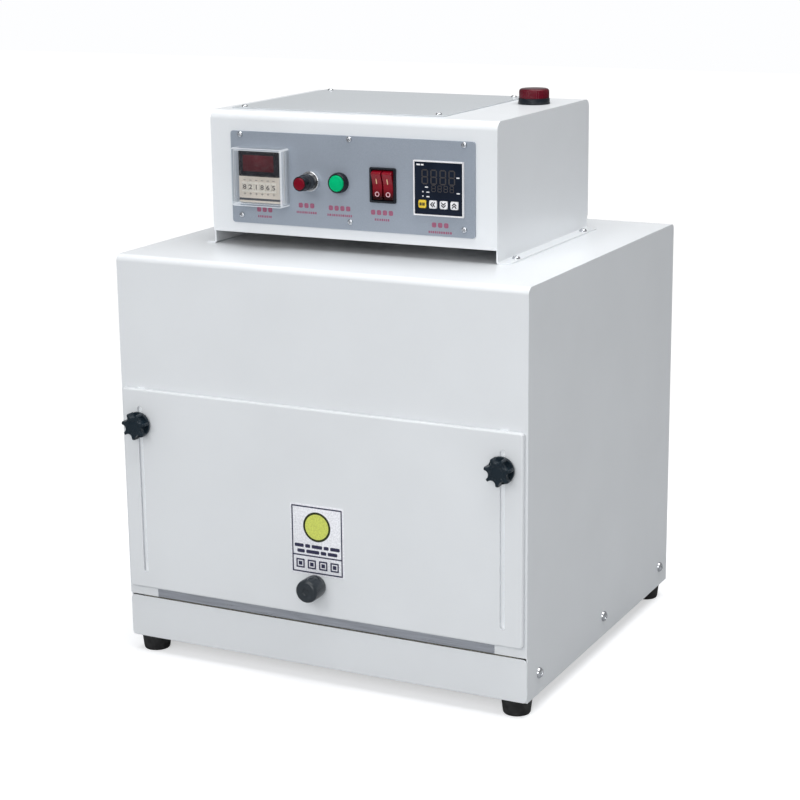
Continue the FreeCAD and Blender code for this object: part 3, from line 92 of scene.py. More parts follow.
def islands(node):
    """The separate solids of a grouped CAD node, each as a list of points."""
    mesh = frame["nodes"][node].data
    spots = [tuple(round(c / MM, 2) for c in vertex.co) for vertex in mesh.vertices]
    leader = {spot: spot for spot in spots}

    def find(spot):
        while leader[spot] != spot:
            leader[spot] = leader[leader[spot]]
            spot = leader[spot]
        return spot

    for face in mesh.polygons:
        first = find(spots[face.vertices[0]])
        for corner in face.vertices[1:]:
            leader[find(spots[corner])] = first
    groups = {}
    for spot in leader:
        groups.setdefault(find(spot), []).append(Vector(spot))
    return sorted(groups.values(), key=lambda points: tuple(sum(points, Vector())))


def box_of(points):
    low = Vector(min(p[i] for p in points) for i in range(3))
    high = Vector(max(p[i] for p in points) for i in range(3))
    return low, high, (low + high) / 2


# ---- outlines and rims

def polar(count, reach):
    """An outline given by how far it reaches at each turn, for each inset."""
    def outline(inset=0.0):
        turns = [2 * HALF_TURN * i / count for i in range(count)]
        return [(reach(t, inset) * math.cos(t), reach(t, inset) * math.sin(t)) for t in turns]
    return outline


def circle(radius, count=48):
    return polar(count, lambda turn, inset: radius - inset)


def rounded_box(width, height, corner, steps=6):
    def outline(inset=0.0):
        radius = max(corner - inset, 0.05)
        points = []
        for quarter in range(4):
            turn = QUARTER_TURN * quarter
            sign_u = 1 if quarter in (0, 3) else -1
            sign_v = 1 if quarter in (0, 1) else -1
            centre_u = sign_u * (width / 2 - inset - radius)
            centre_v = sign_v * (height / 2 - inset - radius)
            for i in range(steps + 1):
                t = turn + QUARTER_TURN * i / steps
                points.append((centre_u + radius * math.cos(t), centre_v + radius * math.sin(t)))
        return points
    return outline


def star(radius, lobes, scallop, count=210):
    """A lobed knob's outline, left between round scallops, with one lobe pointing down.

    The scallops' centres stand a little outside the knob, and the sharpness blends each into its lobes."""
    pitch = 2 * HALF_TURN / lobes
    centre = radius + 0.5
    brink = math.asin(scallop / centre)
    sharpness = 2.2
    steep = 3

    def reach(turn, inset):
        phase = (turn + QUARTER_TURN) / pitch - 0.5
        off = abs(phase - round(phase)) * pitch
        near = min(off, brink)
        half_chord = math.sqrt(max(0.0, scallop ** 2 - (centre * math.sin(near)) ** 2))
        hollow = centre * math.cos(near) - half_chord + max(0.0, off - brink) * radius * steep
        blend = math.log(1 + math.exp(-sharpness * abs(radius - hollow))) / sharpness
        return min(radius, hollow) - blend - inset
    return polar(count, reach)


def fluted(radius, flutes, depth, per_flute=6):
    """A round outline with fine upright ribs, which fade as the outline is inset."""
    def reach(turn, inset):
        painted_shade_heights = max(0.0, 1 - inset / 1.5)
        return radius - inset - depth * painted_shade_heights * (1 - math.cos(flutes * turn)) / 2
    return polar(flutes * per_flute, reach)


def slab(low, high, low_round=0.0, high_round=0.0, steps=4):
    """Inset and height of each ring of a slab, with its two rims rounded off."""
    levels = []
    for i in range(steps + 1):
        t = QUARTER_TURN * i / steps
        levels.append((low_round * (1 - math.sin(t)), low + low_round * (1 - math.cos(t))))
    for i in range(steps + 1):
        t = QUARTER_TURN * i / steps
        levels.append((high_round * (1 - math.cos(t)), high - high_round * (1 - math.sin(t))))
    return [level for i, level in enumerate(levels) if i == 0 or level != levels[i - 1]]


def rings(outline, levels):
    return [(outline(inset), height) for inset, height in levels]


def moved(outline, across, up):
    return lambda inset=0.0: [(u + across, v + up) for u, v in outline(inset)]


# ---- surfaces

class Form:
    """The surface of one piece, gathered ring by ring."""

    def __init__(self, where=None):
        self.where = where or Matrix.Identity(4)
        self.points = []
        self.faces = []

    def add(self, points):
        start = len(self.points)
        self.points += [self.where @ Vector(p) for p in points]
        return list(range(start, len(self.points)))

    def skin(self, low, high):
        count = len(low)
        for i in range(count):
            j = (i + 1) % count
            self.faces.append((low[i], low[j], high[j], high[i]))

    def loft(self, levels, closed=False):
        """Skins a list of (outline, height) rings. A closed loft comes back to its first ring."""
        loops = [self.add([(u, v, height) for u, v in points]) for points, height in levels]
        for low, high in zip(loops, loops[1:]):
            self.skin(low, high)
        if closed:
            self.skin(loops[-1], loops[0])
        else:
            self.faces.append(tuple(reversed(loops[0])))
            self.faces.append(tuple(loops[-1]))
        return self

    def lathe(self, profile, count=48, closed=False):
        """Turns (radius, height) points about the outward axis."""
        loops = []
        for radius, height in profile:
            if radius == 0:
                loops.append(self.add([(0, 0, height)]))
            else:
                loops.append(self.add([(u, v, height) for u, v in circle(radius, count)()]))
        pairs = list(zip(loops, loops[1:]))
        if closed:
            pairs.append((loops[-1], loops[0]))
        for low, high in pairs:
            if len(low) == len(high):
                self.skin(low, high)
                continue
            pole, loop = (low[0], high) if len(low) == 1 else (high[0], low)
            for i in range(count):
                self.faces.append((pole, loop[i], loop[(i + 1) % count]))
        return self

    def prism(self, points, low, high):
        """A flat shape with straight sides."""
        return self.loft([(points, low), (points, high)])

    def slab(self, outline, low, high, low_round=0.0, high_round=0.0, steps=4):
        """A flat shape with its two rims rounded off."""
        return self.loft(rings(outline, slab(low, high, low_round, high_round, steps)))

    def band(self, outline, width, height):
        """A flat ring inside an outline."""
        return self.loft([(outline(0), 0), (outline(0), height), (outline(width), height),
                          (outline(width), 0)], closed=True)

    def bar(self, start, end, width, low, high):
        """A straight stroke with round ends."""
        start, end = Vector(start), Vector(end)
        turn = math.atan2(end.y - start.y, end.x - start.x)
        steps = 6
        points = []
        for centre, first in ((end, -QUARTER_TURN), (start, QUARTER_TURN)):
            for i in range(steps + 1):
                t = turn + first + HALF_TURN * i / steps
                points.append((centre.x + width / 2 * math.cos(t), centre.y + width / 2 * math.sin(t)))
        return self.prism(points, low, high)


def front_form(centre, depth):
    """An empty form that faces the door side, over a centre and at a depth."""
    return Form(facing("front", centre.x, depth, centre.z))


def piece(name, form, material, body, slot, stands_for=(), bevel=0.0, sharp=38, bevel_steps=3):
    """Makes the gathered surface an object that rides on a CAD body."""
    mesh = bpy.data.meshes.new(name)
    mesh.from_pydata([p * MM for p in form.points], [], form.faces)
    shape = bmesh.new()
    shape.from_mesh(mesh)
    bmesh.ops.remove_doubles(shape, verts=shape.verts, dist=SAME_PLACE)
    bmesh.ops.recalc_face_normals(shape, faces=shape.faces)
    shape.to_mesh(mesh)
    shape.free()
    mesh.shade_smooth()
    mesh.set_sharp_from_angle(angle=math.radians(sharp))
    mesh.materials.append(material)
    item = bpy.data.objects.new(name, mesh)
    bpy.context.scene.collection.objects.link(item)
    if bevel:
        soften(item, bevel, bevel_steps)
    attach(item, body)
    if stands_for:
        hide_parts(*stands_for)


def soften(item, width, steps=3):
    """Rounds the sharp edges of an object."""
    bevel = item.modifiers.new("soft_edges", "BEVEL")
    bevel.width = width * MM
    bevel.segments = steps
    bevel.limit_method = "ANGLE"
    bevel.angle_limit = HARD_EDGE
    even = item.modifiers.new("flat_faces", "WEIGHTED_NORMAL")
    even.mode = "FACE_AREA"
    even.keep_sharp = True


def mark_sharp(mesh):
    """Marks the hard edges of a CAD mesh, whose faces don't share their corners."""
    spots = [tuple(round(c, 7) for c in vertex.co) for vertex in mesh.vertices]
    normals = {}
    for face in mesh.polygons:
        for key in face.edge_keys:
            seam = frozenset(spots[i] for i in key)
            normals.setdefault(seam, []).append(face.normal.copy())
    limit = math.cos(HARD_EDGE)
    hard = {seam for seam, found in normals.items() if len(found) != 2 or found[0].dot(found[1]) < limit}
    for edge in mesh.edges:
        seam = frozenset(spots[i] for i in edge.vertices)
        edge.use_edge_sharp = seam in hard


def dress(node, material, bevel=0.0, steps=2):
    """Gives a CAD node its finish, and rounds its edges where a width is given."""
    item = frame["nodes"][node]
    mesh = item.data
    mesh.materials.clear()
    mesh.materials.append(material)
    custom = mesh.attributes.get("custom_normal")
    if custom is not None:
        mesh.attributes.remove(custom)
    mesh.shade_smooth()
    mark_sharp(mesh)
    weld = item.modifiers.new("joined_faces", "WELD")
    weld.merge_threshold = SAME_PLACE
    flat = item.modifiers.new("whole_faces", "DECIMATE")
    flat.decimate_type = "DISSOLVE"
    flat.angle_limit = FLAT_ENOUGH
    flat.delimit = {"SHARP"}
    if bevel:
        soften(item, bevel, steps)


# ---- finishes

class Finish:
    """A procedural surface. Each method adds a node and returns the socket it gives out."""

    def __init__(self, name):
        self.material = bpy.data.materials.new(name)
        self.material.use_nodes = True
        self.tree = self.material.node_tree
        self.shader = self.tree.nodes["Principled BSDF"]
        self.place = self.tree.nodes.new("ShaderNodeTexCoord").outputs["Object"]

    def link(self, value, socket):
        if isinstance(value, bpy.types.NodeSocket):
            self.tree.links.new(value, socket)
        elif socket.type == "RGBA" and len(value) == 3:
            socket.default_value = (*value, 1)
        else:
            socket.default_value = value

    def node(self, kind, inputs, output=0, **settings):
        node = self.tree.nodes.new(kind)
        for key, value in settings.items():
            setattr(node, key, value)
        for key, value in inputs.items():
            self.link(value, node.inputs[key])
        return node.outputs[output]

    def stretched(self, stretch):
        return self.node("ShaderNodeMapping", {"Vector": self.place, "Scale": stretch})

    def noise(self, scale, detail=3.0, stretch=None):
        """Cloudy noise; the scale is in features per metre."""
        place = self.stretched(stretch) if stretch else self.place
        return self.node("ShaderNodeTexNoise", {"Vector": place, "Scale": scale, "Detail": detail})

    def cells(self, scale, output="Distance"):
        return self.node("ShaderNodeTexVoronoi", {"Vector": self.place, "Scale": scale}, output)

    def ramp(self, value, start, end, low=0.0, high=1.0):
        inputs = {"Value": value, "From Min": start, "From Max": end, "To Min": low, "To Max": high}
        return self.node("ShaderNodeMapRange", inputs)

    def clouds(self, scale, detail, start=0.3, end=0.7, low=0.0, high=1.0):
        """Noise drawn out between two of its levels."""
        return self.ramp(self.noise(scale, detail), start, end, low, high)

    def mix(self, factor, first, second):
        return self.node("ShaderNodeMix", {0: factor, 6: first, 7: second}, 2, data_type="RGBA")

    def maths(self, operation, first, second=0.0):
        return self.node("ShaderNodeMath", {0: first, 1: second}, operation=operation)

    def bump(self, height, depth, strength=1.0, under=None):
        """Raises the surface by up to a depth in millimetres."""
        inputs = {"Height": height, "Distance": depth * MM, "Strength": strength}
        if under is not None:
            inputs["Normal"] = under
        return self.node("ShaderNodeBump", inputs)

    def edges(self, radius, gain=6.0):
        """Nearly 1 within a radius, in millimetres, of an edge, broken up by noise."""
        rounded = self.node("ShaderNodeBevel", {"Radius": radius * MM}, samples=4)
        straight = self.node("ShaderNodeNewGeometry", {}, "Normal")
        along = self.node("ShaderNodeVectorMath", {0: rounded, 1: straight}, "Value", operation="DOT_PRODUCT")
        bent = self.maths("MULTIPLY", self.maths("SUBTRACT", 1.0, along), gain)
        broken = self.clouds(260, 4, 0.35, 0.65, 0.25, 1.0)
        return self.node("ShaderNodeClamp", {0: self.maths("MULTIPLY", bent, broken)})

    def along(self, axis):
        """The place along one axis, in metres."""
        return self.node("ShaderNodeSeparateXYZ", {0: self.place}, axis)

    def output(self, surface):
        """Sends a shader straight to the output, past the principled one."""
        self.link(surface, self.tree.nodes["Material Output"].inputs["Surface"])
        return self.material

    def worn(self, base, radius, share, colour):
        """A base colour that turns towards another along the edges: wear on some finishes, a painted
        highlight on the powder coat.
        """
        return self.mix(self.maths("MULTIPLY", self.edges(radius), share), base, colour)

    def shade(self, **inputs):
        """Sets the shader's inputs; an underscore in a name stands for a space."""
        for key, value in inputs.items():
            self.link(value, self.shader.inputs[key.replace("_", " ")])
        return self.material


def tinted(colour, factor):
    return tuple(min(1.0, c * factor) for c in colour)


def powder_coat(name, colour, roughness=0.36, peel=0.03, groove=None):
    """Textured paint: fine orange peel, faint clouding, and a painted highlight along the edges.

    A groove is a place either side of the middle where the paint glows a little when it is shut in,
    for the light that bounces about behind a narrow slot."""
    f = Finish(name)
    cloud = f.clouds(11, 4)
    base = f.mix(cloud, tinted(colour, 0.975), tinted(colour, 1.015))
    specks = f.clouds(1900, 1, 0.70, 0.78, 0.0, 0.35)
    base = f.mix(specks, base, tinted(colour, 0.72))
    # Painted highlight: the edges are made lighter than the coat, standing in for the light they catch.
    base = f.worn(base, 0.7, 0.5, tinted(colour, 1.12))
    rough = f.clouds(900, 2, 0.3, 0.7, roughness - 0.05, roughness + 0.07)
    ripple = f.bump(f.noise(620, 2), peel, 0.55)
    waves = f.bump(f.noise(16, 1), 0.5, 0.16, ripple)
    if groove:
        beside = f.maths("ABSOLUTE", f.maths("SUBTRACT", f.maths("ABSOLUTE", f.along("X")), groove * MM))
        near = f.ramp(beside, 3 * MM, 5 * MM, 1.0, 0.0)
        open_sky = f.node("ShaderNodeAmbientOcclusion", {"Distance": 8 * MM}, "AO", samples=6)
        shut_in = f.ramp(open_sky, *SHUT_IN, GROOVE_GLOW, 0.0)
        glow = f.maths("MULTIPLY", near, shut_in)
        f.shade(Emission_Color=base, Emission_Strength=glow)
    return f.shade(Base_Color=base, Roughness=rough, Normal=waves, Coat_Weight=0.35, Coat_Roughness=0.2)


def coated_plate(name, colour):
    """Satin coated sheet with a fine metallic fleck and faint rolling lines."""
    f = Finish(name)
    fleck = f.clouds(2600, 1, 0.45, 0.72)
    cloud = f.clouds(18, 3)
    base = f.mix(cloud, tinted(colour, 0.96), tinted(colour, 1.05))
    base = f.mix(f.maths("MULTIPLY", fleck, 0.35), base, tinted(colour, 1.45))
    lines = f.noise(500, 2, (0.04, 1, 1))
    rough = f.ramp(lines, 0.3, 0.7, 0.33, 0.46)
    base = f.worn(base, 0.6, 0.6, tinted(colour, 1.5))
    surface = f.bump(f.noise(1500, 2), 0.012, 0.5, f.bump(lines, 0.006, 0.4))
    return f.shade(Base_Color=base, Roughness=rough, Metallic=0.22, Normal=surface)


def brushed(name, colour, stretch, roughness=0.3, stain=None):
    """Sheet metal with brush lines along one direction, smears, and an optional heat stain."""
    f = Finish(name)
    lines = f.noise(900, 3, stretch)
    smear = f.clouds(22, 5, 0.35, 0.7)
    base = f.mix(f.ramp(lines, 0.3, 0.7), tinted(colour, 0.84), tinted(colour, 1.1))
    if stain:
        inside = f.ramp(f.along("Y"), *STAIN_DEPTHS, 0.0, 0.45)
        base = f.mix(f.maths("MULTIPLY", smear, inside), base, stain)
    lined = f.ramp(lines, 0.3, 0.7, roughness - 0.06, roughness + 0.08)
    rough = f.maths("ADD", lined, f.maths("MULTIPLY", smear, 0.08))
    surface = f.bump(lines, 0.02, 0.35)
    return f.shade(Base_Color=base, Roughness=rough, Metallic=1.0, Normal=surface)


def plated(name, colour, roughness=0.22, dull=0.2):
    """Plated or turned metal: faint blotches, hairline scratches and dull edges."""
    f = Finish(name)
    blotch = f.ramp(f.cells(160, "Color"), 0.2, 0.8)
    base = f.mix(f.maths("MULTIPLY", blotch, 0.5), tinted(colour, 0.86), tinted(colour, 1.1))
    base = f.worn(base, 0.5, dull, tinted(colour, 0.45))
    scratches = f.noise(700, 4, (1, 0.08, 1))
    rough = f.ramp(scratches, 0.3, 0.75, roughness * 0.7, roughness * 1.5)
    surface = f.bump(scratches, 0.01, 0.4, f.bump(f.noise(130, 2), 0.04, 0.2))
    return f.shade(Base_Color=base, Roughness=rough, Metallic=1.0, Normal=surface)


def moulded(name, colour, roughness=0.4, grain=0.03, dust=0.12, shine=0.0, glance=0.5, painted_shade_heights=None):
    """Moulded plastic: spark-eroded grain, slight mottling, rubbed edges and a trace of dust.

    The last argument is a pair of heights: below the lower one the colour is darkened nearly to black as
    painted shade, and it comes up to full by the upper one."""
    f = Finish(name)
    mottle = f.clouds(55, 4)
    base = f.mix(mottle, tinted(colour, 0.9), tinted(colour, 1.1))
    if painted_shade_heights:
        lit = f.ramp(f.along("Z"), painted_shade_heights[0] * MM, painted_shade_heights[1] * MM, 0.0, 1.0)
        base = f.mix(lit, tinted(colour, 0.12), base)
    grey = tuple(0.35 + 0.4 * c for c in colour)
    film = f.maths("MULTIPLY", f.clouds(420, 5, 0.52, 0.8), dust)
    base = f.mix(film, base, grey)
    base = f.worn(base, 0.45, 0.04 + dust, grey)
    rough = f.clouds(300, 4, 0.3, 0.7, roughness * 0.85, roughness * 1.2)
    surface = f.bump(f.noise(2300, 2), grain, 0.45, f.bump(f.noise(90, 2), 0.08, 0.12))
    return f.shade(Base_Color=base, Roughness=rough, Normal=surface, Coat_Weight=shine,
                   Coat_Roughness=0.06, Specular_IOR_Level=glance)


def printed(name, colour, roughness=0.5):
    """Screen-printed ink: slightly uneven density and a matt film."""
    f = Finish(name)
    density = f.clouds(700, 4, 0.35, 0.7)
    base = f.mix(density, tinted(colour, 1.15), tinted(colour, 0.88))
    surface = f.bump(f.noise(3000, 2), 0.01, 0.5)
    rough = f.clouds(900, 3, 0.3, 0.7, roughness - 0.06, roughness + 0.08)
    return f.shade(Base_Color=base, Roughness=rough, Normal=surface, Specular_IOR_Level=0.2)


def rubber(name, colour):
    """Matt rubber with bloom and grit picked up near the bench."""
    f = Finish(name)
    bloom = f.clouds(140, 5, 0.4, 0.75)
    base = f.mix(f.maths("MULTIPLY", bloom, 0.35), colour, (0.11, 0.11, 0.11))
    surface = f.bump(f.noise(1400, 3), 0.06, 0.6)
    return f.shade(Base_Color=base, Roughness=f.ramp(bloom, 0, 1, 0.68, 0.9), Normal=surface)


def fibre(name, colour):
    """Mineral wool: matted strands in several sizes."""
    f = Finish(name)
    strands = f.noise(520, 6, (1, 0.25, 1))
    clumps = f.noise(70, 4)
    base = f.mix(f.ramp(strands, 0.35, 0.7), tinted(colour, 0.62), tinted(colour, 1.1))
    surface = f.bump(strands, 0.5, 0.9, f.bump(clumps, 2.5, 0.6))
    return f.shade(Base_Color=base, Roughness=0.95, Normal=surface, Sheen_Weight=0.3)


def oxidised(name, colour):
    """A heater sheath: scale, temper colours and pitting."""
    f = Finish(name)
    patches = f.clouds(60, 5, 0.35, 0.7)
    base = f.mix(patches, colour, tinted(colour, 0.45))
    base = f.mix(f.clouds(240, 3, 0.58, 0.75, 0.0, 0.5), base, (0.16, 0.08, 0.05))
    surface = f.bump(f.noise(900, 4), 0.06, 0.6)
    return f.shade(Base_Color=base, Roughness=f.ramp(patches, 0, 1, 0.42, 0.68), Metallic=0.8, Normal=surface)


def cast(name, colour):
    """Die-cast metal with a grainy skin."""
    f = Finish(name)
    grain = f.noise(480, 4)
    base = f.mix(f.ramp(grain, 0.35, 0.7), tinted(colour, 0.8), tinted(colour, 1.1))
    return f.shade(Base_Color=base, Roughness=f.ramp(grain, 0.3, 0.7, 0.4, 0.6), Metallic=0.9,
                   Normal=f.bump(grain, 0.12, 0.5))


def clear_moulding(name):
    """A thin clear shell: it lets light through and shines a little; its rounded edges and side walls carry a
    painted white glow that stands in for highlights.
    """
    f = Finish(name)
    haze = f.clouds(260, 4, 0.45, 0.8, 0.0, 0.015)
    ripple = f.bump(f.noise(60, 2), 0.15, 0.3)
    glossy = f.node("ShaderNodeBsdfGlossy", {"Color": (0.96, 0.98, 1.0), "Roughness": 0.06, "Normal": ripple})
    through = f.node("ShaderNodeBsdfTransparent", {"Color": (0.985, 0.99, 0.995)})
    painted_glow = f.node("ShaderNodeEmission", {"Color": (0.84, 0.88, 0.93), "Strength": 0.98})
    shine = f.node("ShaderNodeFresnel", {"IOR": 1.32, "Normal": ripple})
    body = f.node("ShaderNodeMixShader", {0: shine, 1: through, 2: glossy})
    normal = f.node("ShaderNodeNewGeometry", {}, "Normal")
    size = f.node("ShaderNodeVectorMath", {0: normal}, "Vector", operation="ABSOLUTE")
    parts = [f.node("ShaderNodeSeparateXYZ", {0: size}, axis) for axis in "XYZ"]
    squarest = f.maths("MAXIMUM", f.maths("MAXIMUM", parts[0], parts[1]), parts[2])
    # Painted light: the side walls glow faintly and the rounded edges glow brightly, standing in for
    # highlights.
    wall = f.ramp(parts[1], 0.35, 0.9, 0.09, 0.0)
    bright = f.ramp(squarest, 0.86, 0.985, 0.62, 0.0)
    rim = f.maths("ADD", f.maths("MAXIMUM", bright, wall), haze)
    return f.output(f.node("ShaderNodeMixShader", {0: rim, 1: body, 2: painted_glow}))


def lens(name, colour, deep):
    """A tinted translucent lens with moulding ripple, painted lighter where it faces the camera and darker
    where it turns away: painted highlight and shade.
    """
    f = Finish(name)
    # Painted highlight and shade: the colour is lighter where the lens faces the camera and goes to the deep
    # colour where it turns away.
    painted_shade_by_facing = f.node("ShaderNodeLayerWeight", {"Blend": 0.4}, "Facing")
    base = f.mix(f.ramp(painted_shade_by_facing, 0.1, 0.8), colour, deep)
    base = f.mix(f.clouds(130, 4, 0.35, 0.7, 0.0, 0.4), base, tinted(colour, 1.35))
    surface = f.bump(f.noise(300, 2), 0.04, 0.3)
    return f.shade(Base_Color=base, Roughness=f.clouds(500, 3, 0.3, 0.7, 0.09, 0.18), Normal=surface,
                   Transmission_Weight=0.1, Coat_Weight=0.06, Coat_Roughness=0.08, Specular_IOR_Level=0.15)


def filter_pane(name, colour, deep):
    """A dark display window with a slight sheen gradient and fingerprints."""
    f = Finish(name)
    smear = f.clouds(120, 5, 0.42, 0.75)
    base = f.mix(f.clouds(45, 2), deep, colour)
    rough = f.ramp(smear, 0, 1, 0.07, 0.24)
    return f.shade(Base_Color=base, Roughness=rough, Normal=f.bump(f.noise(80, 2), 0.05, 0.15),
                   Coat_Weight=0.05, Coat_Roughness=0.04, Specular_IOR_Level=0.25)


# Strength of the glow behind the guide slots, and the openness of the sky between which it fades.
GROOVE_GLOW = 0.42
SHUT_IN = (0.52, 0.68)
# Between these depths, in metres, the chamber's sheet takes on its heat stain.
STAIN_DEPTHS = (-0.150, -0.060)
STUD_REACH = span("right_knob")[2].x
ROCKER_FOOT = span("left_rocker")[0].z
COAT_WHITE = (0.79, 0.815, 0.84)

# Metals and plastics are given as a colour, then roughness. A moulding goes on with its grain, dust,
# clear coat, specular level and the heights of its painted shade.
WHITE_COAT = powder_coat("white_powder_coat", COAT_WHITE)
BEHIND_DOOR = powder_coat("white_coat_behind_slots", COAT_WHITE, groove=STUD_REACH)
# The lid's grey is a painted reflection: it stands in for the darker surroundings that its satin coat
# reflects.
LID_COAT_PAINTED_REFLECTION = powder_coat("lid_coat_painted_reflection", (0.52, 0.55, 0.575))
PLATE_COAT = coated_plate("grey_plate_coat", (0.305, 0.345, 0.405))
STAINLESS = brushed("stainless_sheet", (0.50, 0.52, 0.57), (0.03, 1, 1), 0.3, (0.52, 0.45, 0.36))
ZINC = plated("zinc_plating", (0.60, 0.61, 0.60), 0.34)
WIRE = plated("bright_wire", (0.68, 0.68, 0.67), 0.2)
SHEATH = oxidised("heater_sheath_metal", (0.20, 0.17, 0.15))
WOOL = fibre("mineral_wool", (0.78, 0.74, 0.60))
CASTING = cast("cast_aluminium", (0.62, 0.62, 0.63))
MOTOR_PAINT = moulded("motor_paint", (0.06, 0.065, 0.075), 0.45, 0.05, 0.2)
BRASS = plated("turned_brass", (0.72, 0.53, 0.24), 0.25)
CHROME = plated("chrome_plating", (0.80, 0.81, 0.83), 0.12, 0.35)
NICKEL = plated("nickel_plating", (0.64, 0.66, 0.69), 0.14, 0.4)
BLACK = moulded("black_moulding", (0.008, 0.011, 0.016), 0.34, 0.03, 0.02, 0.0, 0.2)
BLACK_GLOSS = moulded("black_gloss_moulding", (0.009, 0.011, 0.016), 0.2, 0.01, 0.02, 0.05, 0.3)
KNOB_BLACK = moulded("knob_moulding", (0.007, 0.016, 0.025), 0.28, 0.025, 0.02, 0.0, 0.28)
CHARCOAL = moulded("charcoal_moulding", (0.022, 0.029, 0.036), 0.20, 0.02, 0.02, 0.1, 0.4)
RUBBER = rubber("foot_rubber", (0.007, 0.007, 0.008))
WHITE_PLASTIC = moulded("white_moulding", (0.80, 0.80, 0.82), 0.34, 0.015, 0.04)
BEIGE = moulded("beige_moulding", (0.68, 0.61, 0.53), 0.42, 0.02, 0.04)
PALE_BEIGE = moulded("pale_beige_moulding", (0.80, 0.75, 0.67), 0.38, 0.015, 0.03)
WHEEL_BEIGE = moulded("digit_wheel_moulding", (0.80, 0.74, 0.66), 0.42, 0.015, 0.03)
YELLOW = moulded("yellow_key_moulding", (0.78, 0.55, 0.04), 0.35, 0.015, 0.03)
RED_CAP = moulded("red_cap_moulding", (0.17, 0.002, 0.012), 0.22, 0.01, 0.0, 0.05, 0.12)
GREEN_CAP = moulded("green_cap_moulding", (0.0005, 0.44, 0.17), 0.3, 0.01, 0.0, 0.0, 0.06)
# The rockers' low halves are darkened as painted shade, where the frame shades them.
ROCKER_RED = moulded("red_rocker_moulding", (0.22, 0.003, 0.012), 0.16, 0.008, 0.0, 0.08, 0.3,
                     (ROCKER_FOOT + 2.5, ROCKER_FOOT + 11))
LENS_RED = lens("red_beacon_lens", (0.11, 0.003, 0.012), (0.05, 0.002, 0.008))
CLEAR = clear_moulding("clear_moulding")
SMOKED = filter_pane("smoked_window_pane", (0.009, 0.015, 0.030), (0.005, 0.009, 0.020))
DISPLAY_BLACK = filter_pane("display_black_pane", (0.020, 0.018, 0.024), (0.008, 0.008, 0.012))
RED_FILTER = filter_pane("red_filter_pane", (0.095, 0.010, 0.016), (0.055, 0.007, 0.012))
PHENOLIC = moulded("phenolic_moulding", (0.05, 0.045, 0.04), 0.45, 0.05)
RELAY = moulded("relay_moulding", (0.07, 0.07, 0.078), 0.4, 0.03)
LABEL_WHITE = printed("label_white", (0.82, 0.83, 0.88), 0.35)
LABEL_NAVY = printed("label_navy", (0.035, 0.035, 0.075))
LABEL_GREEN = printed("label_yellow_green", (0.62, 0.68, 0.14))
LABEL_OLIVE = printed("label_olive", (0.028, 0.036, 0.012))
MAROON = printed("caption_maroon", (0.31, 0.105, 0.170))
MARK_WHITE = printed("mark_white", (0.80, 0.80, 0.82))
MARK_PINK = printed("mark_pink", (0.85, 0.55, 0.60), 0.3)
MARK_STRAW = printed("mark_straw", (0.72, 0.50, 0.30), 0.3)
MARK_DARK = printed("mark_dark", (0.020, 0.020, 0.024))
MARK_TAN = printed("mark_tan", (0.33, 0.30, 0.27))
UNLIT = printed("unlit_segment", (0.048, 0.044, 0.046), 0.35)


# ---- cabinet

def sheet_and_works():
    """The folded sheet parts and the hidden works keep their CAD shape, with softened cut edges."""
    for node in ("left_side_panel", "right_side_panel", "base_pan", "lower_front_panel",
                 "rear_cover", "door_panel", "control_box_wrap", "control_box_left_cheek",
                 "control_box_right_cheek"):
        dress(node, WHITE_COAT, 0.7, 3)
    dress("cabinet_wrap", BEHIND_DOOR, 0.7, 3)
    for node, finish, bevel in (
            ("control_box_lid", LID_COAT_PAINTED_REFLECTION, 0.3), ("instrument_panel", PLATE_COAT, 0.35),
            ("chamber_liner", STAINLESS, 0.35), ("rack_rails", STAINLESS, 0.3),
            ("fan_baffle", STAINLESS, 0.0), ("chamber_insulation", WOOL, 1.5),
            ("heating_elements", SHEATH, 0.0), ("wire_rack", WIRE, 0.0),
            ("thermocouple", ZINC, 0.0), ("fan_impeller", CASTING, 0.25), ("fan_shaft", ZINC, 0.3),
            ("fan_motor", MOTOR_PAINT, 0.6), ("solid_state_relay", RELAY, 0.6),
            ("terminal_block", PHENOLIC, 0.6)):
        dress(node, finish, bevel)


def feet():
    """Turned rubber feet with a rounded lower edge and a well for the screw."""
    form = Form()
    for points in islands("feet"):
        low, high, centre = box_of(points)
        top = high.z - low.z
        wide = (high.x - low.x) / 2
        form.where = facing("up", centre.x, centre.y, low.z)
        form.lathe([
            (2.7, top), (2.7, 5.7), (5.3, 5.7), (5.5, 5.5), (5.5, 0.9), (6.3, 0.0), (wide - 3.4, 0.0),
            (wide - 2.5, 0.3), (wide - 2.0, 1.1), (wide - 1.75, 2.4), (wide - 0.55, top - 3.2),
            (wide - 0.15, top - 2.6), (wide, top - 1.9), (wide, top - 0.5), (wide - 0.4, top),
        ], 56, closed=True)
    piece("rubber_feet", form, RUBBER, "cabinet", "rubber", ("feet",))


def screw_head(form, radius, height, count=48, steps=16):
    """A pan head with a cross recess, standing on its own base plane. Gives back its rim."""
    arm, reach, depth = radius * 0.13, radius * 0.52, height * 0.62

    def level(u, v):
        share = min(1.0, math.hypot(u, v) / radius)
        dome = height * (1 - share ** 3.4) ** 0.62
        cut = 0.0
        for along, beside in ((u, v), (v, u)):
            inside = min(reach - abs(along), arm - abs(beside)) / (0.12 * radius)
            cut = max(cut, min(1.0, max(0.0, inside + 0.5)))
        return dome - depth * cut

    loops = []
    for ring in range(steps, 0, -1):
        share = (ring / steps) ** 0.9
        points = [(u, v, level(u, v)) for u, v in circle(radius * share, count)()]
        loops.append(form.add(points))
    for low, high in zip(loops, loops[1:]):
        form.skin(low, high)
    pole = form.add([(0, 0, level(0, 0))])[0]
    for i in range(count):
        form.faces.append((pole, loops[-1][i], loops[-1][(i + 1) % count]))
    return loops[0]


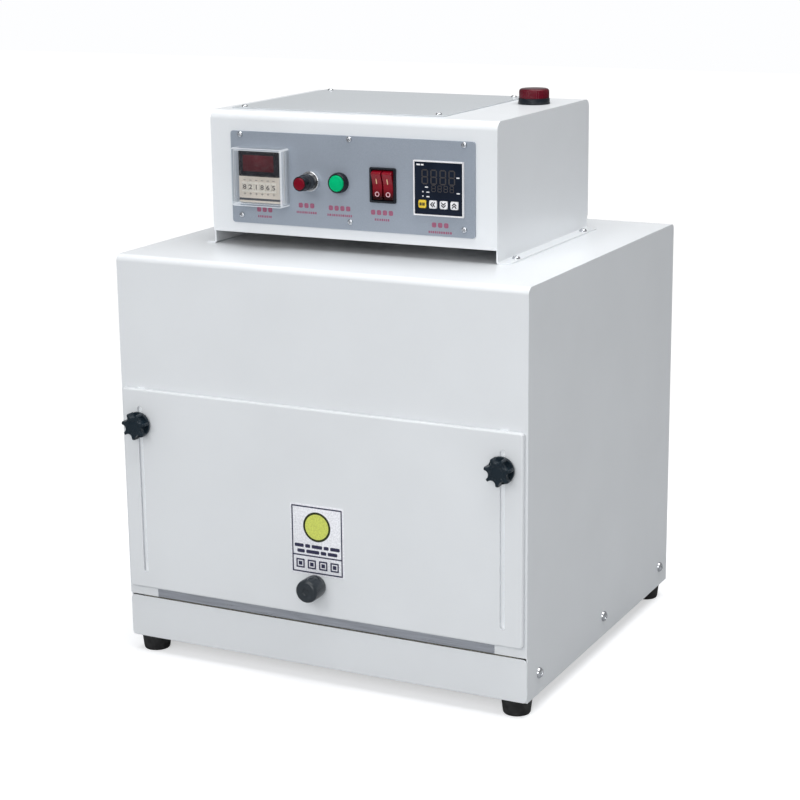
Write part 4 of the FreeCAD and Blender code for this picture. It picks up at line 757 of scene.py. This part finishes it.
def screws(name, node):
    """Finer screws in the places of a grouped CAD node."""
    form = Form()
    for number, points in enumerate(islands(node)):
        low, high, centre = box_of(points)
        size = high - low
        typical = sorted(size)[1]
        axis = max(range(3), key=lambda i: abs(size[i] - typical))
        across = [i for i in range(3) if i != axis]
        reach = {tuple(p): math.dist([p[i] for i in across], [centre[i] for i in across]) for p in points}
        radius = max(reach.values())
        wide = [p[axis] for p in points if reach[tuple(p)] > 0.93 * radius]
        outwards = 1 if sum(wide) / len(wide) > centre[axis] else -1
        seat = min(wide) if outwards > 0 else max(wide)
        crown = high[axis] if outwards > 0 else low[axis]
        tip = low[axis] if outwards > 0 else high[axis]
        shank = max(r for p, r in reach.items() if r < 0.75 * radius and abs(p[axis] - tip) < 1.0)
        side = {0: ("left", "right"), 1: ("front", "back"), 2: ("down", "up")}[axis][outwards > 0]
        place = centre.copy()
        place[axis] = seat
        form.where = facing(side, *place, turn=0.7 * number)
        rim = screw_head(form, radius, abs(crown - seat))
        neck = form.add([(u, v, 0) for u, v in circle(shank)()])
        end = form.add([(u, v, -abs(seat - tip)) for u, v in circle(shank)()])
        form.skin(neck, rim)
        form.skin(end, neck)
        form.faces.append(tuple(end))
    piece(name, form, NICKEL, "cabinet", "chrome", (node,), sharp=50)


def star_knob(side):
    """A seven-lobed clamp knob over a plain washer face, with a dished middle."""
    low, high, centre = span(side + "_knob")
    radius = (high.x - low.x) / 2
    depth = high.y - low.y
    form = front_form(centre, high.y)
    form.lathe([(4.55, 0), (radius - 1.2, 0), (radius - 0.7, 0.4), (radius - 0.6, 2.2),
                (radius - 1.0, 2.7), (4.55, 2.7)], 72, closed=True)
    crown = star(radius, 7, 4.3)
    levels = rings(crown, slab(2.4, depth, 0.5, 1.9, 6)) + [(crown(3.6), depth - 0.1)]
    for reach, sunk in ((5.6, 0.55), (5.0, 0.35), (4.3, 0.2), (1.2, 0.1)):
        levels.append((circle(reach, 210)(), depth - sunk))
    form.loft(levels)
    piece(side + "_knob_moulding", form, KNOB_BLACK, side + "_star_knob", "black_plastic",
          (side + "_knob",), sharp=50)


def door_hardware():
    """Star knobs, their inserts and washers, the guide studs and the handle."""
    dress("door_studs", ZINC, 0.25)
    dress("knob_washers", ZINC, 0.2)
    for side in ("left", "right"):
        dress(side + "_knob_insert", BRASS, 0.2)
        star_knob(side)
    low, high, centre = span("door_handle")
    radius = (high.x - low.x) / 2
    reach = DOOR - low.y
    form = front_form(centre, DOOR)
    form.lathe([
        (0, -2.6), (3.4, -2.6), (3.6, -2.4), (3.6, -0.2), (radius - 1.1, 0.0), (radius - 0.6, 0.3),
        (radius - 0.3, 1.4), (radius, 5), (radius, reach - 3.4), (radius - 0.35, reach - 1.9),
        (radius - 1.1, reach - 0.8), (radius - 2.2, reach - 0.25), (radius - 3.6, reach), (3.2, reach - 0.35),
        (2.9, reach - 0.5), (2.6, reach - 1.1), (0, reach - 1.3),
    ], 72)
    piece("door_pull", form, CHARCOAL, "door", "charcoal_handle", ("door_handle",), sharp=50)


INK = 0.06


def strokes(form, across, up, widths, gap, height):
    """A row of plain dashes, centred, that stands where a caption would be."""
    total = sum(widths) + gap * (len(widths) - 1)
    start = across - total / 2
    for width in widths:
        outline = rounded_box(width, height, min(width, height) * 0.3, 3)
        form.prism(moved(outline, start + width / 2, up)(), 0.0, INK)
        start += width + gap


LABEL_WIDTH, LABEL_HEIGHT = 53.5, 65.0
LABEL_PLACE, LABEL_RISE = 1.9, 31.2
LABEL_BORDER = 1.25
DISC_RISE, DISC_RADIUS, DISC_RIM = 12.4, 11.6, 2.0


def door_label():
    """A plain sticker above the handle: a border, a blank coloured disc and dashes."""
    handle_top = span("door_handle")[1].z
    where = facing("front", LABEL_PLACE, DOOR, handle_top + LABEL_RISE)
    form = Form(where).slab(rounded_box(LABEL_WIDTH, LABEL_HEIGHT, 1.2, 4), 0.0, 0.14, 0, 0.05, 2)
    piece("label_sheet", form, LABEL_WHITE, "door", "white_plastic")
    printed_at = where @ Matrix.Translation((0, 0, 0.13))
    wide, tall = LABEL_WIDTH - 3.2, LABEL_HEIGHT - 3.6
    border = Form(printed_at)
    border.band(rounded_box(wide, tall, 0.4, 2), LABEL_BORDER, INK)
    divider = -tall / 2 + 15.8
    border.prism(moved(rounded_box(wide - 1, LABEL_BORDER, 0.1, 1), 0, divider)(), 0, INK)
    strokes(border, 0.0, divider + 8.9, (9.0, 5.0, 10.5, 5.0, 9.5), 1.5, 3.2)
    strokes(border, 0.0, divider + 3.9, (7.5, 13.0, 5.5, 9.5), 1.5, 3.2)
    for step in (-1.5, -0.5, 0.5, 1.5):
        block = moved(rounded_box(8.4, 8.4, 0.6, 3), 11.4 * step, divider - 7.7)
        border.band(block, 1.4, INK)
        border.prism(block(2.4), 0, INK)
    piece("label_lines", border, LABEL_NAVY, "door", "black_plastic")
    spot = printed_at @ Matrix.Translation((0, DISC_RISE, 0))
    edge = DISC_RADIUS + DISC_RIM
    rim = Form(spot).lathe([(edge, 0), (edge, INK), (DISC_RADIUS, INK), (DISC_RADIUS, 0)], 72, True)
    piece("label_disc_rim", rim, LABEL_OLIVE, "door", "black_plastic")
    disc = Form(spot).lathe([(0, 0), (DISC_RADIUS, 0), (DISC_RADIUS, 0.05), (0, 0.05)], 72)
    piece("label_disc", disc, LABEL_GREEN, "door", "yellow_key")


def mains_inlet():
    """A recessed inlet with a rounded screw flange, a deep mouth and three flat pins."""
    low, high, centre = span("mains_inlet")
    seat = span("rear_cover")[1].y
    proud = high.y - seat
    deep = seat - low.y
    form = Form(facing("back", centre.x, seat, centre.z))
    body = rounded_box(27.6, 20.6, 1.5)
    flange = rounded_box(high.x - low.x, high.z - low.z, 6)
    mouth = rounded_box(23.5, 16.5, 2.4)
    levels = [(body(1), -deep), (body(0), -deep + 1), (body(0), 0)]
    levels += rings(flange, slab(0, proud, 0, 0.7))
    levels += rings(mouth, [(-0.8, proud), (-0.3, proud), (0, proud - 0.5), (0.3, proud - 13)])
    form.loft(levels)
    piece("inlet_body", form, BLACK_GLOSS, "cabinet", "black_gloss", ("mains_inlet",), sharp=30)
    pins = Form(form.where)
    for across, up in ((-7, -1.9), (7, -1.9), (0, 2.1)):
        pins.slab(moved(rounded_box(2.0, 4.0, 0.5, 3), across, up), proud - 14, proud - 2.2, 0, 0.8)
    piece("inlet_pins", pins, ZINC, "cabinet", "zinc_steel")


# ---- beacon and push buttons

def beacon():
    """A ribbed red lens on a black collar that passes through the top of the control box."""
    low, high, centre = span("beacon_base")
    seat = span("control_box_wrap")[1].z
    radius = (high.x - low.x) / 2
    collar = high.z - seat
    spigot = low.z - seat
    form = Form(facing("up", centre.x, centre.y, seat))
    form.lathe([
        (0, spigot), (10.4, spigot), (10.9, spigot + 0.6), (10.9, 0), (radius - 0.5, 0.0),
        (radius, 0.4), (radius, 1.6), (radius - 0.35, 1.9), (radius - 0.35, collar - 0.9),
        (radius - 0.7, collar - 0.2), (radius - 1.3, collar), (0, collar),
    ], 72)
    piece("beacon_collar", form, BLACK, "cabinet", "black_plastic", ("beacon_base",))
    low, high, _ = span("beacon_lens")
    rise = high.z - low.z
    ribs = fluted((high.x - low.x) / 2, 44, 0.3)
    levels = slab(0.0, rise - 0.5, 0.3, 2.6, 7) + [(6, rise - 0.2), (10, rise - 0.03), (13, rise)]
    dome = Form(facing("up", centre.x, centre.y, low.z)).loft(rings(ribs, levels))
    piece("beacon_dome", dome, LENS_RED, "cabinet", "red_lens", ("beacon_lens",), sharp=60)


CAP_INSET = 0.9
CAP_PLAY = 0.12


def button(holder, cap, inset=0.0):
    """Centre, radius, rear and front reach of a button's holder, then its cap's radius, seat and length."""
    low, high, centre = span(holder)
    cap_low, cap_high, _ = span(cap)
    return (centre, (high.x - low.x) / 2, PLATE - high.y, PLATE - low.y,
            (cap_high.x - cap_low.x) / 2 - inset, cap_high.y, cap_high.y - cap_low.y)


def buzzer():
    """A sounder in a long sleeve, held by a plated ring nut, with a push cap in front."""
    dress("buzzer_ring_nut", CHROME, 0.4, 3)
    centre, radius, rear, proud, cap, seat, length = button("buzzer_sleeve", "buzzer_button", CAP_INSET)
    bore = cap + CAP_PLAY
    wide = radius + 0.35
    lip = proud + 2.2
    form = front_form(centre, PLATE)
    form.lathe([
        (2.0, rear), (radius - 0.4, rear), (radius, rear + 0.4), (radius, 3.7),
        (wide - 0.25, 3.7), (wide, 3.95), (wide, 8.2), (wide - 0.25, 8.4), (wide - 0.25, 8.8), (wide, 9.0),
        (wide, 13.5), (wide - 0.3, 13.8), (radius - 0.25, 13.9), (radius - 0.3, lip - 0.4),
        (radius - 0.55, lip), (bore, lip), (bore, proud - 9), (2.0, proud - 9),
    ], 56, closed=True)
    piece("buzzer_tube", form, BLACK_GLOSS, "cabinet", "black_gloss", ("buzzer_sleeve",))
    form = front_form(centre, seat)
    form.lathe([
        (0, 0), (cap, 0), (cap, length - 1.0), (cap - 0.2, length - 0.45), (cap - 0.7, length - 0.15),
        (cap - 1.3, length - 0.1), (cap - 1.6, length - 0.35), (2.4, length - 0.1), (0, length),
    ], 56)
    piece("buzzer_cap_moulding", form, RED_CAP, "buzzer_cap", "red_cap", ("buzzer_button",), sharp=50)


def start_button():
    """A green push cap with a raised rim in a black collar."""
    centre, radius, rear, proud, cap, seat, length = button("start_button_collar", "start_button")
    bore = cap + CAP_PLAY
    form = front_form(centre, PLATE)
    form.lathe([
        (bore, rear), (radius - 1.4, rear), (radius - 1.3, -0.1), (radius - 0.3, 0),
        (radius, 0.3), (radius, 2.0), (radius - 0.2, 2.3), (radius - 0.35, proud - 1.2),
        (radius - 0.7, proud - 0.3), (radius - 1.2, proud), (bore + 0.3, proud - 0.1), (bore, proud - 0.5),
    ], 64, closed=True)
    piece("start_collar", form, BLACK_GLOSS, "cabinet", "black_gloss", ("start_button_collar",))
    form = front_form(centre, seat)
    form.lathe([
        (0, 0), (cap, 0), (cap, length - 1.3), (cap - 0.25, length - 0.6), (cap - 0.8, length - 0.15),
        (cap - 1.4, length), (cap - 1.75, length - 0.25), (4.0, length + 0.05), (2.0, length + 0.22),
        (0, length + 0.28),
    ], 64)
    piece("start_cap_moulding", form, GREEN_CAP, "start_cap", "green_cap", ("start_button",), sharp=50)


# ---- twin rocker switch

FACE_OUT = 4.6
CREST = 10.7
ROCKER_TILT = math.radians(19)
ROCKER_PLAY = 0.45


def rocker_switch():
    """Two rockers side by side in a black frame with a rounded flange."""
    low, high, centre = span("rocker_frame")
    proud = PLATE - low.y
    form = front_form(centre, PLATE)
    body = rounded_box(high.x - low.x - 2.1, high.z - low.z - 2, 0.8)
    flange = rounded_box(high.x - low.x, high.z - low.z, 1.3)
    well = rounded_box(21.4, 27.3, 0.5)
    levels = [(body(0.6), PLATE - high.y), (body(0), PLATE - high.y + 0.6), (body(0), 0)]
    levels += rings(flange, slab(0, proud + 0.5, 0, 1.0, 5))
    levels += rings(well, [(-0.8, proud + 0.4), (-0.2, proud + 0.15), (0, proud - 0.4), (0, -16)])
    form.loft(levels)
    piece("switch_frame", form, BLACK, "cabinet", "black_plastic", ("rocker_frame",), sharp=35)
    for side in ("left", "right"):
        one_rocker(side)


def one_rocker(side):
    """A glossy rocker, low half in, with its two marks. Its profile is drawn seen from the right."""
    node = side + "_rocker"
    body = "rocker_" + side
    joint = next(j for j in frame["joints"] if j["child"] == body)
    pivot = Vector(joint["pos_m"]) / MM
    low, high, _ = span(node)
    width = high.x - low.x
    form = Form(facing("right", low.x, pivot.y, pivot.z))
    slope = math.tan(ROCKER_TILT)
    peak = -FACE_OUT - slope * CREST
    outline = [(y - FACE_OUT, z) for y, z in ((1.6, -11.2), (0.2, -10.2), (0.1, -7), (0.2, -4), (0, 0))]
    outline += [(-FACE_OUT - slope * z * (0.82 + 0.18 * z / CREST), z) for z in (2, 4, 6, 8, 10)]
    outline += [(peak + 0.1, CREST), (peak + 1.2, CREST + 1.0), (-4.0, 12.7), (0.0, 13.2), (5.9, 12.0),
                (5.9, -12.0), (0.0, -13.2), (-4.4, -12.6)]
    form.prism(outline, ROCKER_PLAY, width - ROCKER_PLAY)
    piece(node + "_moulding", form, ROCKER_RED, body, "red_rocker", (node,), 1.0, 30, 4)
    face = facing("front", (low.x + high.x) / 2, pivot.y - FACE_OUT, pivot.z)
    ring = Form(face @ Matrix.Translation((0, -7.9, -0.2)))
    ring.lathe([(1.5, 0), (1.55, 0.3), (2.1, 0.3), (2.15, 0)], 40, closed=True)
    piece(node + "_ring_mark", ring, MARK_PINK, body, "white_plastic")
    tilt = Matrix.Rotation(ROCKER_TILT * 0.93, 4, "X")
    stroke = Form(face @ tilt @ Matrix.Translation((0, 0, 0.02)))
    stroke.bar((0, 1.6), (0, 5.8), 0.8, -0.4, 0.12)
    piece(node + "_line_mark", stroke, MARK_STRAW, body, "white_plastic")


# ---- timer

SHOWN_DIGITS = (8, 2, 1, 8, 6, 5)
DIGIT_SIZE = 5.8
DIGIT_BREADTH = 1.28
DIGIT_SLICES = 8
FOOT_STRIP = 2.3


def digit_glyph(number):
    """A numeral as flat faces, centred on its own origin, sliced so that it can wrap a wheel."""
    curve = bpy.data.curves.new("glyph", "FONT")
    curve.body = str(number)
    curve.size = DIGIT_SIZE
    curve.align_x = "CENTER"
    curve.extrude = 0.04
    curve.offset = 0.06
    curve.resolution_u = 3
    holder = bpy.data.objects.new("glyph", curve)
    mesh = bpy.data.meshes.new_from_object(holder)
    shape = bmesh.new()
    shape.from_mesh(mesh)
    bpy.data.meshes.remove(mesh)
    bpy.data.objects.remove(holder)
    bpy.data.curves.remove(curve)
    tall = max(v.co.y for v in shape.verts)
    for i in range(1, DIGIT_SLICES):
        everything = shape.verts[:] + shape.edges[:] + shape.faces[:]
        cut = (0, tall * i / DIGIT_SLICES, 0)
        bmesh.ops.bisect_plane(shape, geom=everything, plane_co=cut, plane_no=(0, 1, 0))
    points = [(v.co.x * DIGIT_BREADTH, v.co.y - tall / 2, v.co.z) for v in shape.verts]
    shape.verts.index_update()
    faces = [tuple(v.index for v in face.verts) for face in shape.faces]
    shape.free()
    return points, faces


def digit_wheels():
    """Six wheels side by side, each with ten numerals round it and the shown one in front."""
    glyphs = [digit_glyph(number) for number in range(10)]
    for place, shown in enumerate(SHOWN_DIGITS, start=1):
        node = f"digit_wheel_{place}"
        body = f"wheel_{place}"
        low, high, centre = span(node)
        radius = (high.z - low.z) / 2
        width = high.x - low.x
        drum = Form(facing("right", low.x, centre.y, centre.z))
        drum.lathe([
            (1.56, 0.2), (3.0, 0.2), (3.2, 0), (radius - 0.4, 0), (radius, 0.35), (radius, width - 0.35),
            (radius - 0.4, width), (3.2, width), (3.0, width - 0.2), (1.56, width - 0.2),
        ], 60, closed=True)
        piece(body + "_drum", drum, WHEEL_BEIGE, body, "wheel_plastic", (node,))
        numerals = Form()
        for number, (points, faces) in enumerate(glyphs):
            start = (number - shown) * HALF_TURN / 5
            spots = []
            for across, up, out in points:
                turn = start + up / radius
                reach = radius + 0.01 + out
                spots.append((centre.x + across, centre.y - reach * math.cos(turn),
                              centre.z + reach * math.sin(turn)))
            indices = numerals.add(spots)
            numerals.faces += [tuple(indices[i] for i in face) for face in faces]
        piece(body + "_numerals", numerals, MARK_DARK, body, "black_plastic", sharp=60)


def timer():
    """A preset timer: black display half, beige dial half, dark foot strip and a clear cover."""
    dress("timer_case", BEIGE, 0.3)
    dress("timer_display", DISPLAY_BLACK, 0.2)
    low, high, centre = span("timer_case")
    proud = PLATE - low.y
    pane_low, pane_high, pane_middle = span("timer_display")
    over = 0.15
    wide = pane_high.x - pane_low.x + 2.4 + 2 * over
    top = pane_high.z + 1.2
    bottom = low.z + high.z - top
    split = pane_low.z - 1.1
    shell_middle = (top + over + split) / 2
    shell = Form(facing("front", centre.x, PLATE, shell_middle))
    outer = rounded_box(wide, top + over - split, 0.9)
    opening = moved(rounded_box(pane_high.x - pane_low.x + 0.2, pane_high.z - pane_low.z + 0.2, 0.4),
                    0, pane_middle.z - shell_middle)
    levels = [(opening(0), 0.5)] + rings(outer, slab(0.5, proud + over, 0, 0.6))
    levels += rings(opening, [(-0.3, proud + over), (0, proud - 0.1), (0, proud - 1.4)])
    shell.loft(levels, closed=True)
    piece("timer_upper_shell", shell, BLACK_GLOSS, "cabinet", "black_gloss")
    pane = Form(facing("front", centre.x - 0.6, pane_low.y, pane_middle.z + 0.6))
    pane.slab(rounded_box(31.5, 14.6, 0.6), -0.4, 0.07, 0, 0.05, 2)
    piece("timer_red_filter", pane, RED_FILTER, "cabinet", "red_window")
    foot = Form(facing("front", centre.x, PLATE, bottom + 4.0 - FOOT_STRIP / 2))
    foot.slab(rounded_box(wide, FOOT_STRIP, 0.7), 0.5, proud + over, 0, 0.5)
    piece("timer_foot_strip", foot, MOTOR_PAINT, "cabinet", "black_plastic")
    dial_marks(low.y)
    digit_wheels()
    timer_lid()


def dial_marks(front):
    """Raised rims round the digit windows, with small key marks above and below."""
    rims = Form()
    marks = Form()
    outside = rounded_box(5.9, 9.2, 0.6, 4)
    window = rounded_box(4.6, 5.6, 0.5, 4)
    for place in range(1, len(SHOWN_DIGITS) + 1):
        centre = span(f"digit_wheel_{place}")[2]
        rims.where = marks.where = facing("front", centre.x, front, centre.z)
        rims.loft([(outside(0), 0.02), (outside(0), 0.42), (outside(0.12), 0.5), (window(0), 0.5),
                   (window(0), 0.02)], closed=True)
        marks.bar((-0.9, 6.0), (0.9, 6.0), 0.7, -0.05, 0.08)
        marks.bar((-0.9, -6.2), (0.9, -6.2), 0.7, -0.05, 0.08)
        marks.bar((0, -7.1), (0, -5.3), 0.6, -0.05, 0.08)
    piece("timer_window_rims", rims, PALE_BEIGE, "cabinet", "beige_plastic", sharp=60)
    piece("timer_key_marks", marks, MARK_TAN, "cabinet", "black_plastic")


def timer_lid():
    """The clear cover: a five-sided shell with rounded outer edges, open towards the plate."""
    low, high, centre = span("timer_cover")
    proud = PLATE - low.y
    gap = PLATE - high.y
    outer = rounded_box(high.x - low.x + 0.2, high.z - low.z + 0.2, 2.8, 8)
    inner = rounded_box(high.x - low.x - 3.9, high.z - low.z - 3.9, 0.5, 8)
    levels = rings(inner, [(0.8, proud - 1.6), (0.2, proud - 1.8), (0, proud - 2.4), (0, gap)])
    levels += rings(outer, slab(gap, proud, 0.2, 1.7, 6))
    form = front_form(centre, PLATE).loft(levels)
    piece("timer_lid_shell", form, CLEAR, "timer_lid", "clear_cover", ("timer_cover",), sharp=60)


# ---- temperature controller

# Segment ends of a seven-segment digit one unit wide and one unit tall.
SEGMENTS = (((0, 0), (1, 0)), ((0, 0.5), (1, 0.5)), ((0, 1), (1, 1)),
            ((0, 0), (0, 0.5)), ((1, 0), (1, 0.5)), ((0, 0.5), (0, 1)), ((1, 0.5), (1, 1)))


def segment_digit(form, across, up, width, height, thick):
    for (u1, v1), (u2, v2) in SEGMENTS:
        start = Vector((across + width * (u1 - 0.5), up + height * (v1 - 0.5)))
        end = Vector((across + width * (u2 - 0.5), up + height * (v2 - 0.5)))
        trim = (end - start).normalized() * thick * 0.72
        form.bar(start + trim, end - trim, thick, 0, 0.05)


def chevron(form, size, turn):
    """Two nested V strokes, pointing along a turn."""
    spin = Matrix.Rotation(turn, 2)
    for shift in (-0.42, 0.42):
        tip = spin @ Vector((size * (shift - 0.35), 0))
        for sign in (-1, 1):
            end = spin @ Vector((size * (shift + 0.35), sign * size * 0.72))
            form.bar(tip, end, 0.95, 0, INK)


# Each key's body, finish, colour slot, and the way its arrow points.
KEYS = {
    "set_key": ("pad_set", YELLOW, "yellow_key", None),
    "shift_key": ("pad_shift", WHITE_PLASTIC, "white_plastic", 0.0),
    "down_key": ("pad_down", WHITE_PLASTIC, "white_plastic", QUARTER_TURN),
    "up_key": ("pad_up", WHITE_PLASTIC, "white_plastic", -QUARTER_TURN),
}


def controller():
    """A white-framed controller: unlit digits and marks in a dark window, and four soft keys."""
    dress("controller_case", WHITE_PLASTIC, 0.35, 3)
    dress("controller_window", SMOKED, 0.15)
    low, _, centre = span("controller_window")
    digits = front_form(centre, low.y)
    for across in (-12.9, -4.4, 4.3, 12.8):
        segment_digit(digits, across, 9.9, 5.2, 12.0, 1.25)
    for across in (-4.6, 1.2, 7.0, 12.8):
        segment_digit(digits, across, 0.0, 3.4, 5.2, 0.7)
    piece("controller_digits", digits, UNLIT, "cabinet", "smoked_window")
    marks = front_form(centre, low.y)
    strokes(marks, -17.4, 20.2, (3.6, 2.6), 0.7, 1.3)
    for across, up in ((-11.4, 1.0), (-10.0, -3.3), (-10.0, -7.2), (18.6, 10.2), (18.8, -3.2)):
        strokes(marks, across, up, (3.0,), 0, 0.95)
    for up in (-3.1, -6.9):
        strokes(marks, -14.8, up, (1.3,), 0, 1.1)
    piece("controller_marks", marks, MARK_WHITE, "cabinet", "white_plastic")
    for node, (body, material, slot, turn) in KEYS.items():
        low, high, centre = span(node)
        form = front_form(centre, high.y)
        form.slab(rounded_box(high.x - low.x, high.z - low.z, 1.5, 6), 0, high.y - low.y, 0, 0.5)
        piece(node + "_moulding", form, material, body, slot, (node,))
        mark = front_form(centre, low.y)
        if turn is None:
            strokes(mark, 0, 0, (1.5, 1.2, 1.5), 0.4, 2.8)
        else:
            chevron(mark, 2.5, turn)
        piece(node + "_mark", mark, MARK_DARK, body, "black_plastic")


# Each caption's place across, height on the plate, count of large blocks and length of small dashes.
CAPTIONS = ((-94.3, 13.0, 3, 14), (-51.0, 19.2, 3, 20), (-17.6, 18.6, 4, 25), (24.6, 17.2, 4, 14),
            (81.0, 9.6, 3, 21))
CAPTION_DROP = 6.3


def captions():
    """Plain dashes under each instrument, where the printed captions go."""
    form = Form(facing("front", 0, PLATE, span("instrument_panel")[0].z))
    dice = random.Random(7)
    gap = 0.6
    for across, up, blocks, length in CAPTIONS:
        strokes(form, across, up, (4.3,) * blocks, 1.5, 4.4)
        widths = []
        while sum(widths) + gap * len(widths) < length:
            widths.append(dice.uniform(0.9, 1.9))
        strokes(form, across, up - CAPTION_DROP, widths, gap, 2.1)
    piece("panel_captions", form, MAROON, "cabinet", "red_window")


# ---- assembly

sheet_and_works()
feet()
screws("cabinet_screw_heads", "cabinet_screws")
screws("control_box_screw_heads", "control_box_screws")
door_hardware()
door_label()
mains_inlet()
beacon()
buzzer()
start_button()
rocker_switch()
timer()
controller()
captions()


# ---- studio

FLOOR_HALF = 6.0
FLOOR_FADE = (0.35, 0.75)
SKY_STRENGTH = 0.34
CAMERA_PLACE = (0.820, -1.634, 0.6840)
CAMERA_YAW, CAMERA_DIP, CAMERA_ROLL = math.radians(26.705), math.radians(14.147), math.radians(-0.623)
CAMERA_LENS = 90.15


def floor():
    """A pale floor that only shows the soft shadow under the oven and melts into the white behind."""
    f = Finish("studio_floor")
    grain = f.clouds(40, 3, 0.3, 0.7, 0.985, 1.0)
    tone = f.node("ShaderNodeCombineColor", {0: grain, 1: grain, 2: grain})
    paint = f.node("ShaderNodeBsdfDiffuse", {"Color": (0.70, 0.71, 0.73)})
    glow = f.node("ShaderNodeEmission", {"Color": tone, "Strength": 0.50})
    lit = f.node("ShaderNodeAddShader", {0: paint, 1: glow})
    white = f.node("ShaderNodeEmission", {"Color": (1, 1, 1), "Strength": 1.05})
    away = f.node("ShaderNodeVectorMath", {0: f.place}, "Value", operation="LENGTH")
    both = f.node("ShaderNodeMixShader", {0: f.ramp(away, *FLOOR_FADE), 1: lit, 2: white})
    seen = f.node("ShaderNodeLightPath", {}, "Is Camera Ray")
    dim = f.node("ShaderNodeBsdfDiffuse", {"Color": (0.42, 0.43, 0.44)})
    f.output(f.node("ShaderNodeMixShader", {0: seen, 1: dim, 2: both}))
    mesh = bpy.data.meshes.new("studio_floor")
    corners = [(u * FLOOR_HALF, v * FLOOR_HALF, 0) for u, v in ((-1, -1), (1, -1), (1, 1), (-1, 1))]
    mesh.from_pydata(corners, [], [(0, 1, 2, 3)])
    mesh.materials.append(f.material)
    item = bpy.data.objects.new("studio_floor", mesh)
    bpy.context.scene.collection.objects.link(item)


def daylight():
    """White behind the oven for the camera, and a softer even light for everything else."""
    world = bpy.data.worlds.new("studio")
    bpy.context.scene.world = world
    world.use_nodes = True
    tree = world.node_tree
    seen = tree.nodes.new("ShaderNodeLightPath").outputs["Is Camera Ray"]
    strength = tree.nodes.new("ShaderNodeMix")
    strength.inputs[2].default_value = SKY_STRENGTH
    strength.inputs[3].default_value = 1.0
    tree.links.new(seen, strength.inputs[0])
    backdrop = tree.nodes["Background"]
    backdrop.inputs["Color"].default_value = (0.985, 0.99, 1.0, 1)
    tree.links.new(strength.outputs[0], backdrop.inputs["Strength"])


def softbox(name, place, width, height, power):
    """A rectangular lamp aimed at the middle of the oven, a little to its right."""
    data = bpy.data.lights.new(name, "AREA")
    data.shape = "RECTANGLE"
    data.size = width
    data.size_y = height
    data.energy = power
    item = bpy.data.objects.new(name, data)
    item.location = place
    item.rotation_euler = (Vector((0.1, 0, 0.3)) - Vector(place)).to_track_quat("-Z", "Y").to_euler()
    bpy.context.scene.collection.objects.link(item)


def camera():
    """The view from the right and a little above, through a long lens."""
    data = bpy.data.cameras.new("camera")
    data.sensor_width = 36
    data.lens = CAMERA_LENS
    item = bpy.data.objects.new("camera", data)
    level = Matrix.Rotation(CAMERA_YAW, 4, "Z") @ Matrix.Rotation(QUARTER_TURN - CAMERA_DIP, 4, "X")
    item.matrix_world = Matrix.Translation(CAMERA_PLACE) @ level @ Matrix.Rotation(CAMERA_ROLL, 4, "Z")
    bpy.context.scene.collection.objects.link(item)
    bpy.context.scene.camera = item


bpy.context.scene.view_settings.view_transform = "Standard"
floor()
daylight()
softbox("overhead", (0.40, 0.0, 2.2), 2.0, 2.0, 43)
softbox("front_key", (-0.6, -2.6, 1.9), 1.3, 1.1, 16)
softbox("front_fill", (0.8, -2.7, 1.0), 1.6, 1.4, 24)
camera()
